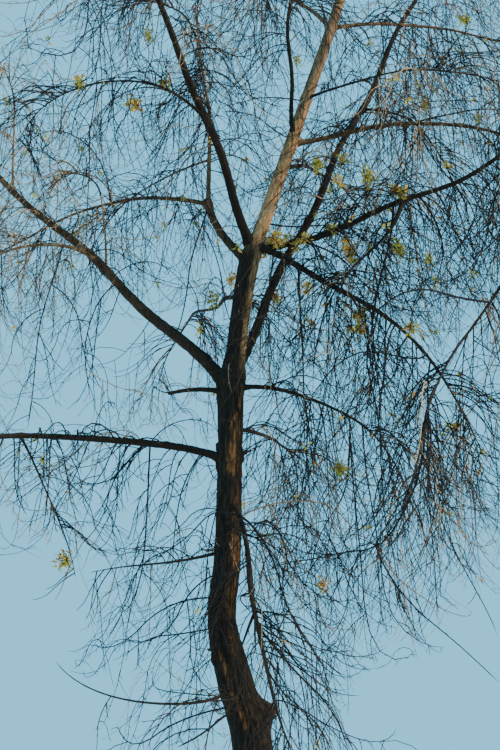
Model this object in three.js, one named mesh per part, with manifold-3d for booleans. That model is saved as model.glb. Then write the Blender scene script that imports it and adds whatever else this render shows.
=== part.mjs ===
import * as THREE from "three";
import Module from "manifold-3d";

// A bare winter tree, rooted in the ground: a leaning trunk that forks twice, long arching boughs
// and hanging masses of twigs. Millimetres and degrees, +Z up. The origin is the middle of the flat
// cut at ground level, and headings turn from +X towards +Y.

// Stations up the middle of the trunk: height, x, y and radius
const TRUNK_STATIONS = [
  [0, 0, 0, 310],
  [120, 0, 0, 265],
  [350, 0, 0, 230],
  [900, 4, 0, 206],
  [2150, 22, -8, 181],
  [2740, -140, -28, 165],
  [3280, -262, -22, 134],
  [3850, -215, 5, 128],
  [4900, -196, 25, 120],
  [5620, -184, 22, 134],
  [5980, -142, 15, 98],
  [6900, -18, -4, 104],
  [7280, 100, -10, 76],
  [8660, 537, -25, 66],
  [10160, 1003, -30, 56],
  [11650, 1370, 10, 38],
];
const TRUNK_SIDES = 16;
const TRUNK_RINGS_PER_STATION = 2;

// Buttresses of the root flare, and the burl on the trunk's right side
const FLARE = { height: 520, lobes: 5, depth: 0.16 };
const BURL = { height: 2400, heading: 0, tall: 88, wide: 34, depth: 112 };

// Short dead spurs on the trunk: height, heading, rise, length past the bark and radius
const SPURS = [
  { name: "right_spur", height: 4880, heading: -8, rise: 12, length: 95, radius: 17 },
  { name: "left_spur", height: 2940, heading: 184, rise: 20, length: 60, radius: 16 },
];
const SPUR_SIDES = 6;

// Limbs: name, what it grows on, where (height on the trunk, share of a bough), heading and turn,
// rise at foot, joint and tip, length of bough and of twig stem, radius at foot and joint,
// and the reach and droop of its twigs
const LIMBS = [
  limb("left_bough", "trunk", 5560, [167, 6], [47, 43, -25], [3980, 1500], [65, 28], [1250, 50]),
  limb(
    "left_hanging_limb", "left_bough", 0.54, [207, 12], [30, -63, -60], [1450, 1100], [22, 9], [900, 55],
  ),
  limb("left_inner_shoot", "left_bough", 0.5, [111, 80], [88, 72, -35], [970, 900], [15, 8], [900, 60]),
  limb("left_outer_shoot", "left_bough", 0.88, [182, -80], [79, 88, 30], [1080, 1200], [16, 8], [950, 30]),
  limb("low_left_bough", "trunk", 4820, [196, 21], [14, -26, -30], [3240, 1600], [40, 17], [1150, 60]),
  limb(
    "low_left_hanging_limb", "low_left_bough", 0.64, [34, -80], [-55, -60, -75], [580, 900], [13, 7], [700, 50],
  ),
  limb("right_leader", "trunk", 5710, [18, 9], [66, 65, 5], [6000, 1600], [50, 24], [1250, 40]),
  limb(
    "right_leader_limb", "right_leader", 0.63, [-11, -15], [-13, -59, -70], [860, 1000], [16, 9], [1000, 60],
  ),
  limb("low_right_bough", "trunk", 5570, [-9, 65], [4, -22, -70], [1200, 1300], [26, 12], [1200, 70]),
  limb("low_front_bough", "trunk", 4390, [-77, 88], [-13, -89, -63], [900, 1700], [22, 24], [1150, 50]),
  limb("upper_left_bough", "trunk", 7090, [228, 3], [60, 52, 10], [3630, 1600], [50, 24], [1250, 45]),
  limb(
    "upper_left_limb", "upper_left_bough", 0.4, [221, -80], [17, 0, -60], [1100, 1200], [18, 9], [1050, 60],
  ),
  limb("left_fork", "trunk", 6960, [159, 7], [38, 84, 70], [970, 0], [48, 37], [0, 0]),
  limb(
    "left_arching_bough", "left_fork", 0.93, [129, 80], [40, -24, -50], [2120, 1500], [27, 13], [1150, 60],
  ),
  limb("left_rising_bough", "left_fork", 0.95, [79, 80], [84, 67, 20], [2640, 1700], [25, 13], [1150, 40]),
  limb(
    "left_rising_limb", "left_rising_bough", 0.22, [164, 4], [-11, -30, -70], [860, 1000], [13, 7], [900, 60],
  ),
  limb("upper_front_bough", "trunk", 8450, [260, 33], [24, 16, -30], [2350, 1600], [25, 13], [1200, 45]),
  limb("upper_right_bough", "trunk", 8340, [2, 15], [22, -11, -50], [2740, 1500], [30, 14], [1200, 60]),
  limb("top_right_bough", "trunk", 9830, [30, -19], [23, 3, -50], [2160, 1500], [24, 11], [1150, 45]),
  limb(
    "upper_right_front_bough", "trunk", 8910, [-48, 40], [-9, -6, -50], [1200, 1500], [16, 9], [1100, 60],
  ),
  limb("top_left_bough", "trunk", 9810, [137, -4], [59, 42, -20], [1740, 1400], [26, 13], [1150, 35]),
  limb("right_bough", "trunk", 7080, [7, -66], [18, 17, -50], [3420, 1400], [36, 17], [1250, 65]),
  limb(
    "right_hanging_limb", "right_bough", 0.49, [216, -8], [-70, -44, -88], [1080, 1000], [23, 10], [1000, 70],
  ),
  limb(
    "right_weeping_limb", "right_bough", 0.87, [-100, -90], [-83, -47, -88], [2750, 1200], [24, 11], [1050, 75],
  ),
  limb(
    "right_drooping_bough", "trunk", 7140, [-29, 24], [-28, -49, -80], [2160, 1300], [38, 15], [1200, 70],
  ),
  limb("upper_back_bough", "trunk", 8100, [78, -25], [32, 14, -45], [2300, 1500], [30, 13], [1200, 45]),
  limb("back_bough", "trunk", 6500, [98, 20], [26, 12, -50], [2600, 1500], [32, 14], [1200, 55]),
  limb("low_back_bough", "trunk", 5100, [66, 18], [20, 4, -60], [2000, 1400], [26, 12], [1200, 60]),
  limb("dead_stub", "trunk", 5510, [206, -35], [10, -4, 0], [650, 0], [30, 17], [0, 0]),
  limb("upper_trunk_shoots", "trunk", 3940, [189, 4], [10, -10, -15], [0, 1330], [20, 14], [850, 45]),
  limb("lower_trunk_shoots", "trunk", 2690, [226, -67], [-32, -36, 47], [0, 1890], [20, 14], [900, 30]),
  limb("top", "trunk", 11650, [40, -60], [76, 70, 40], [0, 1300], [36, 30], [1150, 35]),
];

// How a limb's line sways: over what length, and by how much in heading and rise
const LINE_STEPS = 24;
const SWAY = { every: 1300, heading: 7, rise: 5, riseRate: 0.7, phaseStep: 0.37 };

// The swelling of a bough's foot, the spacing of its rings, and its sides
const COLLAR = { swell: 0.45, fade: 1.2 };
const RING_SPACING = 480;
const PLACE_SPACING = 150;
const SIDES = { thick: 7, thin: 6, thickFrom: 30 };

// The stem of a mass: its rings, its sides, its share of the joint's radius and its least radius
const STEM = { rings: [0, 3, 7, 11, 15, 19, 24], sides: 4, share: 0.9, least: 3 };

// Twigs of a mass: how many are kept of those tried, where on the stem they grow, and their size
const TWIGS = { kept: 7, tried: 40, from: 0.05, to: 0.97, rings: [0, 6, 12, 18, 24], sides: 3, radius: 5.5 };
const TWIG_LENGTH = { least: 0.6, more: 0.4, shorter: 0.3, joint: 0.55 };

// How a twig leaves its stem and then turns, droops and lifts
const SPIRAL = { along: 0.618034, around: 137.5, scatter: 50 };
const OPENING = { least: 48, more: 30 };
const HANG = { turn: 80, follow: 0.35, least: 0.6, more: 0.5, lowest: -84, lift: 15, moreLift: 0.8 };

// The room that a twig keeps to limbs and to the next mass, and the bare foot of one on the trunk
const ROOM = { limb: 30, mass: 36, foot: 80 };

// A tuft of young leaves: its blades' half sizes, how far they open, and the twigs that end in one
const TUFT = { blades: 3, long: 75, wide: 24, thick: 4, open: 38, roll: 50, sunk: 8, twig: 2, everyMass: 3 };

// Gap between touching solids
const GAP = 0.45;
const SMOOTHING = 0.25;

const BARK = { color: 0x3a2a1f, roughness: 0.95, metalness: 0 };
const TWIG_BARK = { color: 0x5a4636, roughness: 0.9, metalness: 0 };

const wasm = await Module();
wasm.setup();

function limb(name, on, at, [heading, turn], rises, [bough, stem], [foot, joint], [reach, droop]) {
  return { name, on, at, heading, turn, rises, bough, stem, foot, joint, reach, droop };
}

const radians = THREE.MathUtils.degToRad;
const mix = THREE.MathUtils.lerp;
const fraction = (x) => x - Math.floor(x);

// A repeatable number from 0 to 1 for a mass, a twig and a use
function chance(mass, twig, use) {
  return fraction(Math.sin(mass * 12.9898 + twig * 78.233 + use * 37.719) * 43758.5453);
}

function direction(heading, rise) {
  const [h, r] = [radians(heading), radians(rise)];
  return new THREE.Vector3(Math.cos(r) * Math.cos(h), Math.cos(r) * Math.sin(h), Math.sin(r));
}

// The middle line of a limb or twig, in equal steps
function growLine(start, { heading, turn, rises, bough, stem, phase }) {
  const length = bough + stem;
  const joint = bough / length;
  const points = [start.clone()];
  for (let i = 0; i < LINE_STEPS; i++) {
    const share = (i + 0.5) / LINE_STEPS;
    const sway = 2 * Math.PI * ((share * length) / SWAY.every + phase);
    const rise =
      share < joint
        ? mix(rises[0], rises[1], share / joint)
        : mix(rises[1], rises[2], (share - joint) / (1 - joint));
    const step = direction(
      heading + turn * share + SWAY.heading * Math.sin(sway),
      rise + SWAY.rise * Math.cos(SWAY.riseRate * sway),
    );
    points.push(points[i].clone().addScaledVector(step, length / LINE_STEPS));
  }
  return points;
}

// The place and direction at a share of a line
function along(line, share) {
  const place = Math.min(share * (line.length - 1), line.length - 1 - 1e-6);
  const i = Math.floor(place);
  return {
    point: line[i].clone().lerp(line[i + 1], place - i),
    tangent: line[i + 1].clone().sub(line[i]).normalize(),
  };
}

// A closed tube round rings of { point, radius }; a last radius of 0 is a point
function tube(rings, sides, radiusAt = (ring) => ring.radius) {
  const pointed = rings[rings.length - 1].radius === 0;
  const tangents = rings.map((ring, i) =>
    rings[Math.min(i + 1, rings.length - 1)].point
      .clone()
      .sub(rings[Math.max(i - 1, 0)].point)
      .normalize(),
  );
  const positions = [];
  const normal = Math.abs(tangents[0].x) > 0.9 ? new THREE.Vector3(0, 0, 1) : new THREE.Vector3(1, 0, 0);
  rings.forEach((ring, i) => {
    const tangent = ring.tangent ?? tangents[i];
    normal.addScaledVector(tangent, -normal.dot(tangent)).normalize();
    const binormal = tangent.clone().cross(normal);
    const count = pointed && i === rings.length - 1 ? 1 : sides;
    for (let side = 0; side < count; side++) {
      const angle = (2 * Math.PI * side) / sides;
      const radius = radiusAt(ring, angle);
      const vertex = ring.point
        .clone()
        .addScaledVector(normal, radius * Math.cos(angle))
        .addScaledVector(binormal, radius * Math.sin(angle));
      positions.push(vertex.x, vertex.y, vertex.z);
    }
  });
  const faces = [];
  for (let side = 1; side < sides - 1; side++) faces.push(0, side + 1, side);
  for (let i = 0; i < rings.length - 1; i++) {
    for (let side = 0; side < sides; side++) {
      const [a, b] = [i * sides + side, i * sides + ((side + 1) % sides)];
      if (pointed && i === rings.length - 2) {
        faces.push(a, b, (i + 1) * sides);
      } else {
        faces.push(a, b, b + sides, a, b + sides, a + sides);
      }
    }
  }
  const last = (rings.length - 1) * sides;
  if (!pointed) {
    for (let side = 1; side < sides - 1; side++) faces.push(last, last + side, last + side + 1);
  }
  return solid(positions, faces);
}

function solid(positions, faces) {
  return new wasm.Manifold(
    new wasm.Mesh({
      numProp: 3,
      vertProperties: new Float32Array(positions),
      triVerts: new Uint32Array(faces),
    }),
  );
}

// The largest piece of a body, without the slivers that cutting and joining leave
function tidied(body) {
  const pieces = body.asOriginal().simplify(SMOOTHING).decompose();
  return pieces.reduce((a, b) => (b.volume() > a.volume() ? b : a));
}

// The trunk's middle line with its radius, from the stations
const trunkLine = new THREE.CatmullRomCurve3(
  TRUNK_STATIONS.map(([height, x, y]) => new THREE.Vector3(x, y, height)),
  false,
  "centripetal",
);

function trunkRings() {
  const spans = TRUNK_STATIONS.length - 1;
  const rings = [];
  for (let i = 0; i <= spans * TRUNK_RINGS_PER_STATION; i++) {
    const place = i / TRUNK_RINGS_PER_STATION;
    const span = Math.min(Math.floor(place), spans - 1);
    const point = trunkLine.getPoint(place / spans);
    const radius = mix(TRUNK_STATIONS[span][3], TRUNK_STATIONS[span + 1][3], place - span);
    rings.push({ point, radius });
  }
  rings[0].tangent = new THREE.Vector3(0, 0, 1);
  rings[rings.length - 1].tangent = new THREE.Vector3(0, 0, 1);
  return rings;
}

// The trunk's radius with its buttresses and its burl
function trunkRadius({ point, radius }, angle) {
  const flare = Math.max(0, 1 - point.z / FLARE.height);
  const lobes = 1 + FLARE.depth * flare * flare * Math.cos(FLARE.lobes * angle);
  const turned = Math.atan2(
    Math.sin(angle - radians(BURL.heading)),
    Math.cos(angle - radians(BURL.heading)),
  );
  const up = (point.z - BURL.height) / BURL.tall;
  const round = THREE.MathUtils.radToDeg(turned) / BURL.wide;
  return radius * lobes + BURL.depth * Math.exp(-up * up - round * round);
}

// The trunk's place at a height
function trunkAt(height) {
  const rings = trunkOutline;
  const above = rings.findIndex((ring, i) => i > 0 && (ring.point.z >= height || i === rings.length - 1));
  const [low, high] = [rings[above - 1], rings[above]];
  const share = (height - low.point.z) / (high.point.z - low.point.z);
  return {
    point: low.point.clone().lerp(high.point, share),
    radius: mix(low.radius, high.radius, share),
    tangent: high.point.clone().sub(low.point).normalize(),
  };
}

// A bough's rings: close together at its swollen foot, then evenly to its joint
function boughRings(row) {
  const inside = row.parentRadius;
  const spans = Math.max(2, Math.round((row.bough - inside) / RING_SPACING));
  const places = [0, inside * 0.9, inside + row.foot];
  for (let i = 1; i <= spans; i++) {
    const place = mix(inside, row.bough, i / spans);
    if (place > inside + 2 * row.foot) places.push(place);
  }
  const length = row.bough + row.stem;
  return places.map((place) => {
    const { point, tangent } = along(row.line, place / length);
    return { point, tangent, radius: boughRadius(row, place) };
  });
}

function boughRadius(row, place) {
  const taper = mix(row.foot, row.joint, place / row.bough);
  const beyond = Math.max(0, place - row.parentRadius);
  return taper * (1 + COLLAR.swell * Math.exp(-beyond / (COLLAR.fade * row.foot)));
}

// The same rings a gap larger and a gap longer, to cut what touches the limb
function grown(rings) {
  const larger = rings.map((ring) => ({ ...ring, radius: ring.radius + GAP }));
  const tip = larger[larger.length - 1];
  tip.point = tip.point.clone().addScaledVector(tip.tangent, GAP);
  return larger;
}

// Trunk first, then each limb's line and what it grows from
const trunkOutline = trunkRings();
const trunkPlaces = trunkOutline.map(({ point, radius }) => ({ point, radius }));
const limbPlaces = [{ name: "trunk", places: trunkPlaces }];
LIMBS.forEach((row, i) => {
  row.index = i;
  row.phase = SWAY.phaseStep * i;
  const parent = LIMBS.find((other) => other.name === row.on);
  let foot;
  if (parent) {
    foot = along(parent.line, (row.at * parent.bough) / (parent.bough + parent.stem)).point;
    row.parentRadius = boughRadius(parent, row.at * parent.bough);
  } else {
    foot = trunkAt(row.at).point;
    row.parentRadius = row.name === "top" ? 0 : trunkAt(row.at).radius;
  }
  row.line = growLine(foot, row);
  if (row.bough > 0) {
    const count = Math.round(row.bough / PLACE_SPACING);
    const places = Array.from({ length: count + 1 }, (_, k) => {
      const place = (row.bough * k) / count;
      return {
        point: along(row.line, place / (row.bough + row.stem)).point,
        radius: boughRadius(row, place),
      };
    });
    limbPlaces.push({ name: row.name, places });
  }
});

// A spur's rings, from the middle of the trunk to its blunt end
function spurRings({ height, heading, rise, length, radius }) {
  const { point, radius: bark } = trunkAt(height);
  const way = direction(heading, rise);
  return [
    { point, radius: 1.5 * radius },
    { point: point.clone().addScaledVector(way, bark + 0.15 * length), radius: 1.25 * radius },
    { point: point.clone().addScaledVector(way, bark + length), radius: 0.7 * radius },
  ];
}

function spurSolid(spur) {
  return tube(spurRings(spur), SPUR_SIDES);
}

SPURS.forEach((spur) => limbPlaces.push({ name: spur.name, places: spurRings(spur) }));

// The stem of a mass is the rest of its limb's line, past the joint
const masses = LIMBS.filter((row) => row.stem > 0);
masses.forEach((mass) => {
  const joint = mass.bough / (mass.bough + mass.stem);
  const gap = mass.bough > 0 || mass.name === "top" ? GAP / mass.stem : 0;
  mass.stemLine = Array.from(
    { length: LINE_STEPS + 1 },
    (_, i) => along(mass.line, joint + (1 - joint) * mix(gap, 1, i / LINE_STEPS)).point,
  );
});

// Nearest distance from a point to a string of points
function distanceTo(point, a, b) {
  const edge = b.clone().sub(a);
  const share = THREE.MathUtils.clamp(point.clone().sub(a).dot(edge) / edge.lengthSq(), 0, 1);
  return { distance: point.distanceTo(a.clone().addScaledVector(edge, share)), share };
}

function stemDistance(point, mass) {
  let least = Infinity;
  for (let i = 0; i < LINE_STEPS; i += 3) {
    least = Math.min(least, distanceTo(point, mass.stemLine[i], mass.stemLine[i + 3]).distance);
  }
  return least;
}

// Whether a point is clear of every limb and in its own mass's space
function hasRoom(point, mass) {
  for (const { places } of limbPlaces) {
    for (let i = 0; i < places.length - 1; i++) {
      const { distance, share } = distanceTo(point, places[i].point, places[i + 1].point);
      if (distance < mix(places[i].radius, places[i + 1].radius, share) + ROOM.limb) return false;
    }
  }
  const own = stemDistance(point, mass);
  return masses.every((other) => other === mass || stemDistance(point, other) > own + ROOM.mass);
}

// The line of one twig of a mass
function twigLine(mass, twig) {
  const luck = (use) => chance(mass.index, twig, use);
  const share = mix(TWIGS.from, TWIGS.to, fraction(0.5 + SPIRAL.along * twig));
  const { point, tangent } = along(mass.stemLine, share);
  const side = new THREE.Vector3(0, 0, 1).cross(tangent).normalize();
  const over = tangent.clone().cross(side);
  const angle = radians(SPIRAL.around * twig + SPIRAL.scatter * luck(1));
  const spread = radians(OPENING.least + OPENING.more * luck(2));
  const start = tangent
    .clone()
    .multiplyScalar(Math.cos(spread))
    .addScaledVector(side, Math.sin(spread) * Math.cos(angle))
    .addScaledVector(over, Math.sin(spread) * Math.sin(angle));
  const rise = THREE.MathUtils.radToDeg(Math.asin(start.z));
  const fall = mass.droop * (HANG.least + HANG.more * luck(3));
  const low = Math.max(HANG.lowest, HANG.follow * rise - fall);
  const ample = TWIG_LENGTH.least + TWIG_LENGTH.more * luck(4);
  const length = mass.reach * ample * (1 - TWIG_LENGTH.shorter * share);
  return growLine(point, {
    heading: THREE.MathUtils.radToDeg(Math.atan2(start.y, start.x)),
    turn: HANG.turn * (luck(5) - 0.5),
    rises: [rise, low, low + HANG.lift + HANG.moreLift * mass.droop * luck(6)],
    bough: TWIG_LENGTH.joint * length,
    stem: (1 - TWIG_LENGTH.joint) * length,
    phase: luck(7),
  });
}

// A tuft of blades that open round the tip of a twig
function tuftBlades(line, mass) {
  const { point, tangent } = along(line, 0.98);
  const side = new THREE.Vector3(0, 0, 1).cross(tangent).normalize();
  const blades = [];
  for (let i = 0; i < TUFT.blades; i++) {
    const around = new THREE.Quaternion().setFromAxisAngle(tangent, (2 * Math.PI * i) / TUFT.blades);
    const open = new THREE.Quaternion().setFromAxisAngle(side, radians(TUFT.open));
    const way = tangent.clone().applyQuaternion(open).applyQuaternion(around);
    const middle = point.clone().addScaledVector(way, TUFT.long - TUFT.sunk);
    const tip = middle.clone().addScaledVector(way, TUFT.long);
    if (!hasRoom(middle, mass) || !hasRoom(tip, mass)) return [];
    const blade = new THREE.OctahedronGeometry(1, 0);
    blade.scale(TUFT.long, TUFT.wide, TUFT.thick);
    blade.rotateX(radians(TUFT.roll * i));
    blade.applyQuaternion(new THREE.Quaternion().setFromUnitVectors(new THREE.Vector3(1, 0, 0), way));
    blade.translate(middle.x, middle.y, middle.z);
    blades.push(geometrySolid(blade));
  }
  return blades;
}

// The solid of a closed three.js geometry that repeats its corners
function geometrySolid(geometry) {
  const position = geometry.getAttribute("position");
  const corners = new Map();
  const positions = [];
  const faces = [];
  for (let i = 0; i < position.count; i++) {
    const corner = new THREE.Vector3().fromBufferAttribute(position, i);
    const key = corner.toArray().map((x) => x.toFixed(2)).join();
    if (!corners.has(key)) {
      corners.set(key, corners.size);
      positions.push(...corner.toArray());
    }
    faces.push(corners.get(key));
  }
  return solid(positions, faces);
}

// One mass: its stem with the twigs that have room, fused into one body
function massSolid(mass) {
  const onTrunk = mass.bough === 0 && mass.name !== "top";
  const rings = STEM.rings.map((i) => ({
    point: mass.stemLine[i],
    radius: i < LINE_STEPS ? mass.joint * STEM.share * (1 - i / LINE_STEPS) + STEM.least : 0,
  }));
  rings[0].tangent = startTangent(mass);
  const bodies = [tube(rings, STEM.sides)];
  for (let twig = 0, kept = 0; twig < TWIGS.tried && kept < TWIGS.kept; twig++) {
    const line = twigLine(mass, twig);
    if (onTrunk && line[0].distanceTo(mass.line[0]) < mass.parentRadius + ROOM.foot) continue;
    const clear = line.every((point, i) => i === 0 || hasRoom(point, mass));
    if (!clear) continue;
    const radius = (i) => TWIGS.radius * (1 - i / LINE_STEPS);
    bodies.push(tube(TWIGS.rings.map((i) => ({ point: line[i], radius: radius(i) })), TWIGS.sides));
    kept++;
    if (kept === TUFT.twig && mass.index % TUFT.everyMass === 0) bodies.push(...tuftBlades(line, mass));
  }
  const fused = wasm.Manifold.union(bodies);
  const cut = onTrunk ? fused.subtract(grownLimbs.get("trunk")) : fused;
  return tidied(cut);
}

function startTangent(mass) {
  if (mass.name === "top") return new THREE.Vector3(0, 0, 1);
  return along(mass.line, mass.bough / (mass.bough + mass.stem)).tangent;
}

function mesh(name, body, finish) {
  const { vertProperties, triVerts } = body.getMesh();
  const geometry = new THREE.BufferGeometry();
  geometry.setAttribute("position", new THREE.BufferAttribute(vertProperties, 3));
  geometry.setIndex(new THREE.BufferAttribute(triVerts, 1));
  geometry.computeVertexNormals();
  const made = new THREE.Mesh(geometry, new THREE.MeshStandardMaterial(finish));
  made.name = name;
  return made;
}

const tree = new THREE.Group();
tree.name = "bare_winter_tree";

// Trunk with its spurs
const trunkBodies = [tube(trunkOutline, TRUNK_SIDES, trunkRadius), ...SPURS.map(spurSolid)];
tree.add(mesh("trunk", tidied(wasm.Manifold.union(trunkBodies)), BARK));

// Boughs, each cut clear of its parent and of the limbs beside its foot
const grownLimbs = new Map([
  ["trunk", tube(grown(trunkOutline), TRUNK_SIDES, trunkRadius)],
]);
for (const row of LIMBS.filter((each) => each.bough > 0)) {
  const sides = row.foot >= SIDES.thickFrom ? SIDES.thick : SIDES.thin;
  const rings = boughRings(row);
  let body = tube(rings, sides);
  for (const other of grownLimbs.values()) body = body.subtract(other);
  body = tidied(body);
  grownLimbs.set(row.name, tube(grown(rings), sides));
  tree.add(mesh(row.name, body, BARK));
}

// Masses of twigs
for (const mass of masses) {
  const name = mass.bough > 0 || mass.name === "top" ? mass.name + "_twigs" : mass.name;
  tree.add(mesh(name, massSolid(mass), TWIG_BARK));
}

export default tree;
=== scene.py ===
"""A bare winter tree: bark with its relief, a web of twigs and tufts of young leaves.

Metres and degrees, +Z up. The origin is the middle of the flat cut at ground level, -Y faces the
viewer, and headings turn from +X towards +Y.
"""

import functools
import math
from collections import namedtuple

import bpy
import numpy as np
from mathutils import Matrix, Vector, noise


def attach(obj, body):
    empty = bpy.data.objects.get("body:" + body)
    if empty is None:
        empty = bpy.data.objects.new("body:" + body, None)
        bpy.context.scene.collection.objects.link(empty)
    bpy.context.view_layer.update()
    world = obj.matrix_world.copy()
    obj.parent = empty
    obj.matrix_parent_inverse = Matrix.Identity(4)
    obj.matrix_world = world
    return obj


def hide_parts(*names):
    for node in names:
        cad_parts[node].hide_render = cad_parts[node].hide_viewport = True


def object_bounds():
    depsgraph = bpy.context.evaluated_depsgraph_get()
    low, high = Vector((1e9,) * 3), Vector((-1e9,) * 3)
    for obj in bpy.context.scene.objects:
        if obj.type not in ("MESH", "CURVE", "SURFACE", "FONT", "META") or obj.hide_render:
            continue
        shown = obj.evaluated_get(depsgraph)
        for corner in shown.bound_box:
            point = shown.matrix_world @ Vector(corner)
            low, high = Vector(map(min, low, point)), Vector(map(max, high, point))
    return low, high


bl_info = {
    "name": "Bare winter tree",
    "version": (1, 0, 0),
    "blender": (4, 5, 0),
    "location": "View3D > Sidebar > Tree",
    "description": "Bark, twigs and young leaves for a bare winter tree",
    "category": "Object",
}

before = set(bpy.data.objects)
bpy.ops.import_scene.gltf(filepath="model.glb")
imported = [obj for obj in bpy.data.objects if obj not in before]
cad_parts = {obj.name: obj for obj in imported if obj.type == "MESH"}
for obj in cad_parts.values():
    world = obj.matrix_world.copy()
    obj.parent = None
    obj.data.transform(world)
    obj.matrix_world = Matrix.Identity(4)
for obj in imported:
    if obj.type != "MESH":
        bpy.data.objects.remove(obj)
SOLID_BOX = [np.array(corner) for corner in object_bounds()]

# Stations up the middle of the trunk: height, x, y and radius
TRUNK_STATIONS = (
    (0, 0, 0, 0.310),
    (0.12, 0, 0, 0.265),
    (0.35, 0, 0, 0.230),
    (0.9, 0.004, 0, 0.206),
    (2.15, 0.022, -0.008, 0.181),
    (2.74, -0.140, -0.028, 0.165),
    (3.28, -0.262, -0.022, 0.134),
    (3.85, -0.215, 0.005, 0.128),
    (4.9, -0.196, 0.025, 0.120),
    (5.62, -0.184, 0.022, 0.134),
    (5.98, -0.142, 0.015, 0.098),
    (6.9, -0.018, -0.004, 0.104),
    (7.28, 0.100, -0.010, 0.076),
    (8.66, 0.537, -0.025, 0.066),
    (10.16, 1.003, -0.030, 0.056),
    (11.65, 1.370, 0.010, 0.038),
)
TRUNK_RINGS_PER_STATION = 2
TRUNK_TOP = TRUNK_STATIONS[-1][0]

# Buttresses of the root flare, and the burl on the trunk's right side
FLARE_HEIGHT, FLARE_LOBES, FLARE_DEPTH = 0.52, 5, 0.16
BURL_HEIGHT, BURL_HEADING, BURL_TALL, BURL_WIDE, BURL_DEPTH = 2.4, 0, 0.088, 34, 0.112

# Short dead spurs on the trunk: height, heading, rise, length past the bark and radius
SPURS = ((4.88, -8, 12, 0.095, 0.017), (2.94, 184, 20, 0.060, 0.016))
SPUR_RINGS, SPUR_SIDES = 7, 8

# A limb's line turns and rises as it goes. Its bough is bare wood and its stem carries the mass's twigs.
Limb = namedtuple("Limb", "name on at heading turn rises bough stem foot joint reach droop twigs")


def limb(name, on, at, way, rises, lengths, radii, twigs=(0, 0, 0)):
    """A limb: carrier and place on it, heading and turn, rises, metres, millimetres, and its twigs."""
    foot, joint = (0.001 * radius for radius in radii)
    return Limb(name, on, at, *way, rises, *lengths, foot, joint, *twigs)


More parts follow.
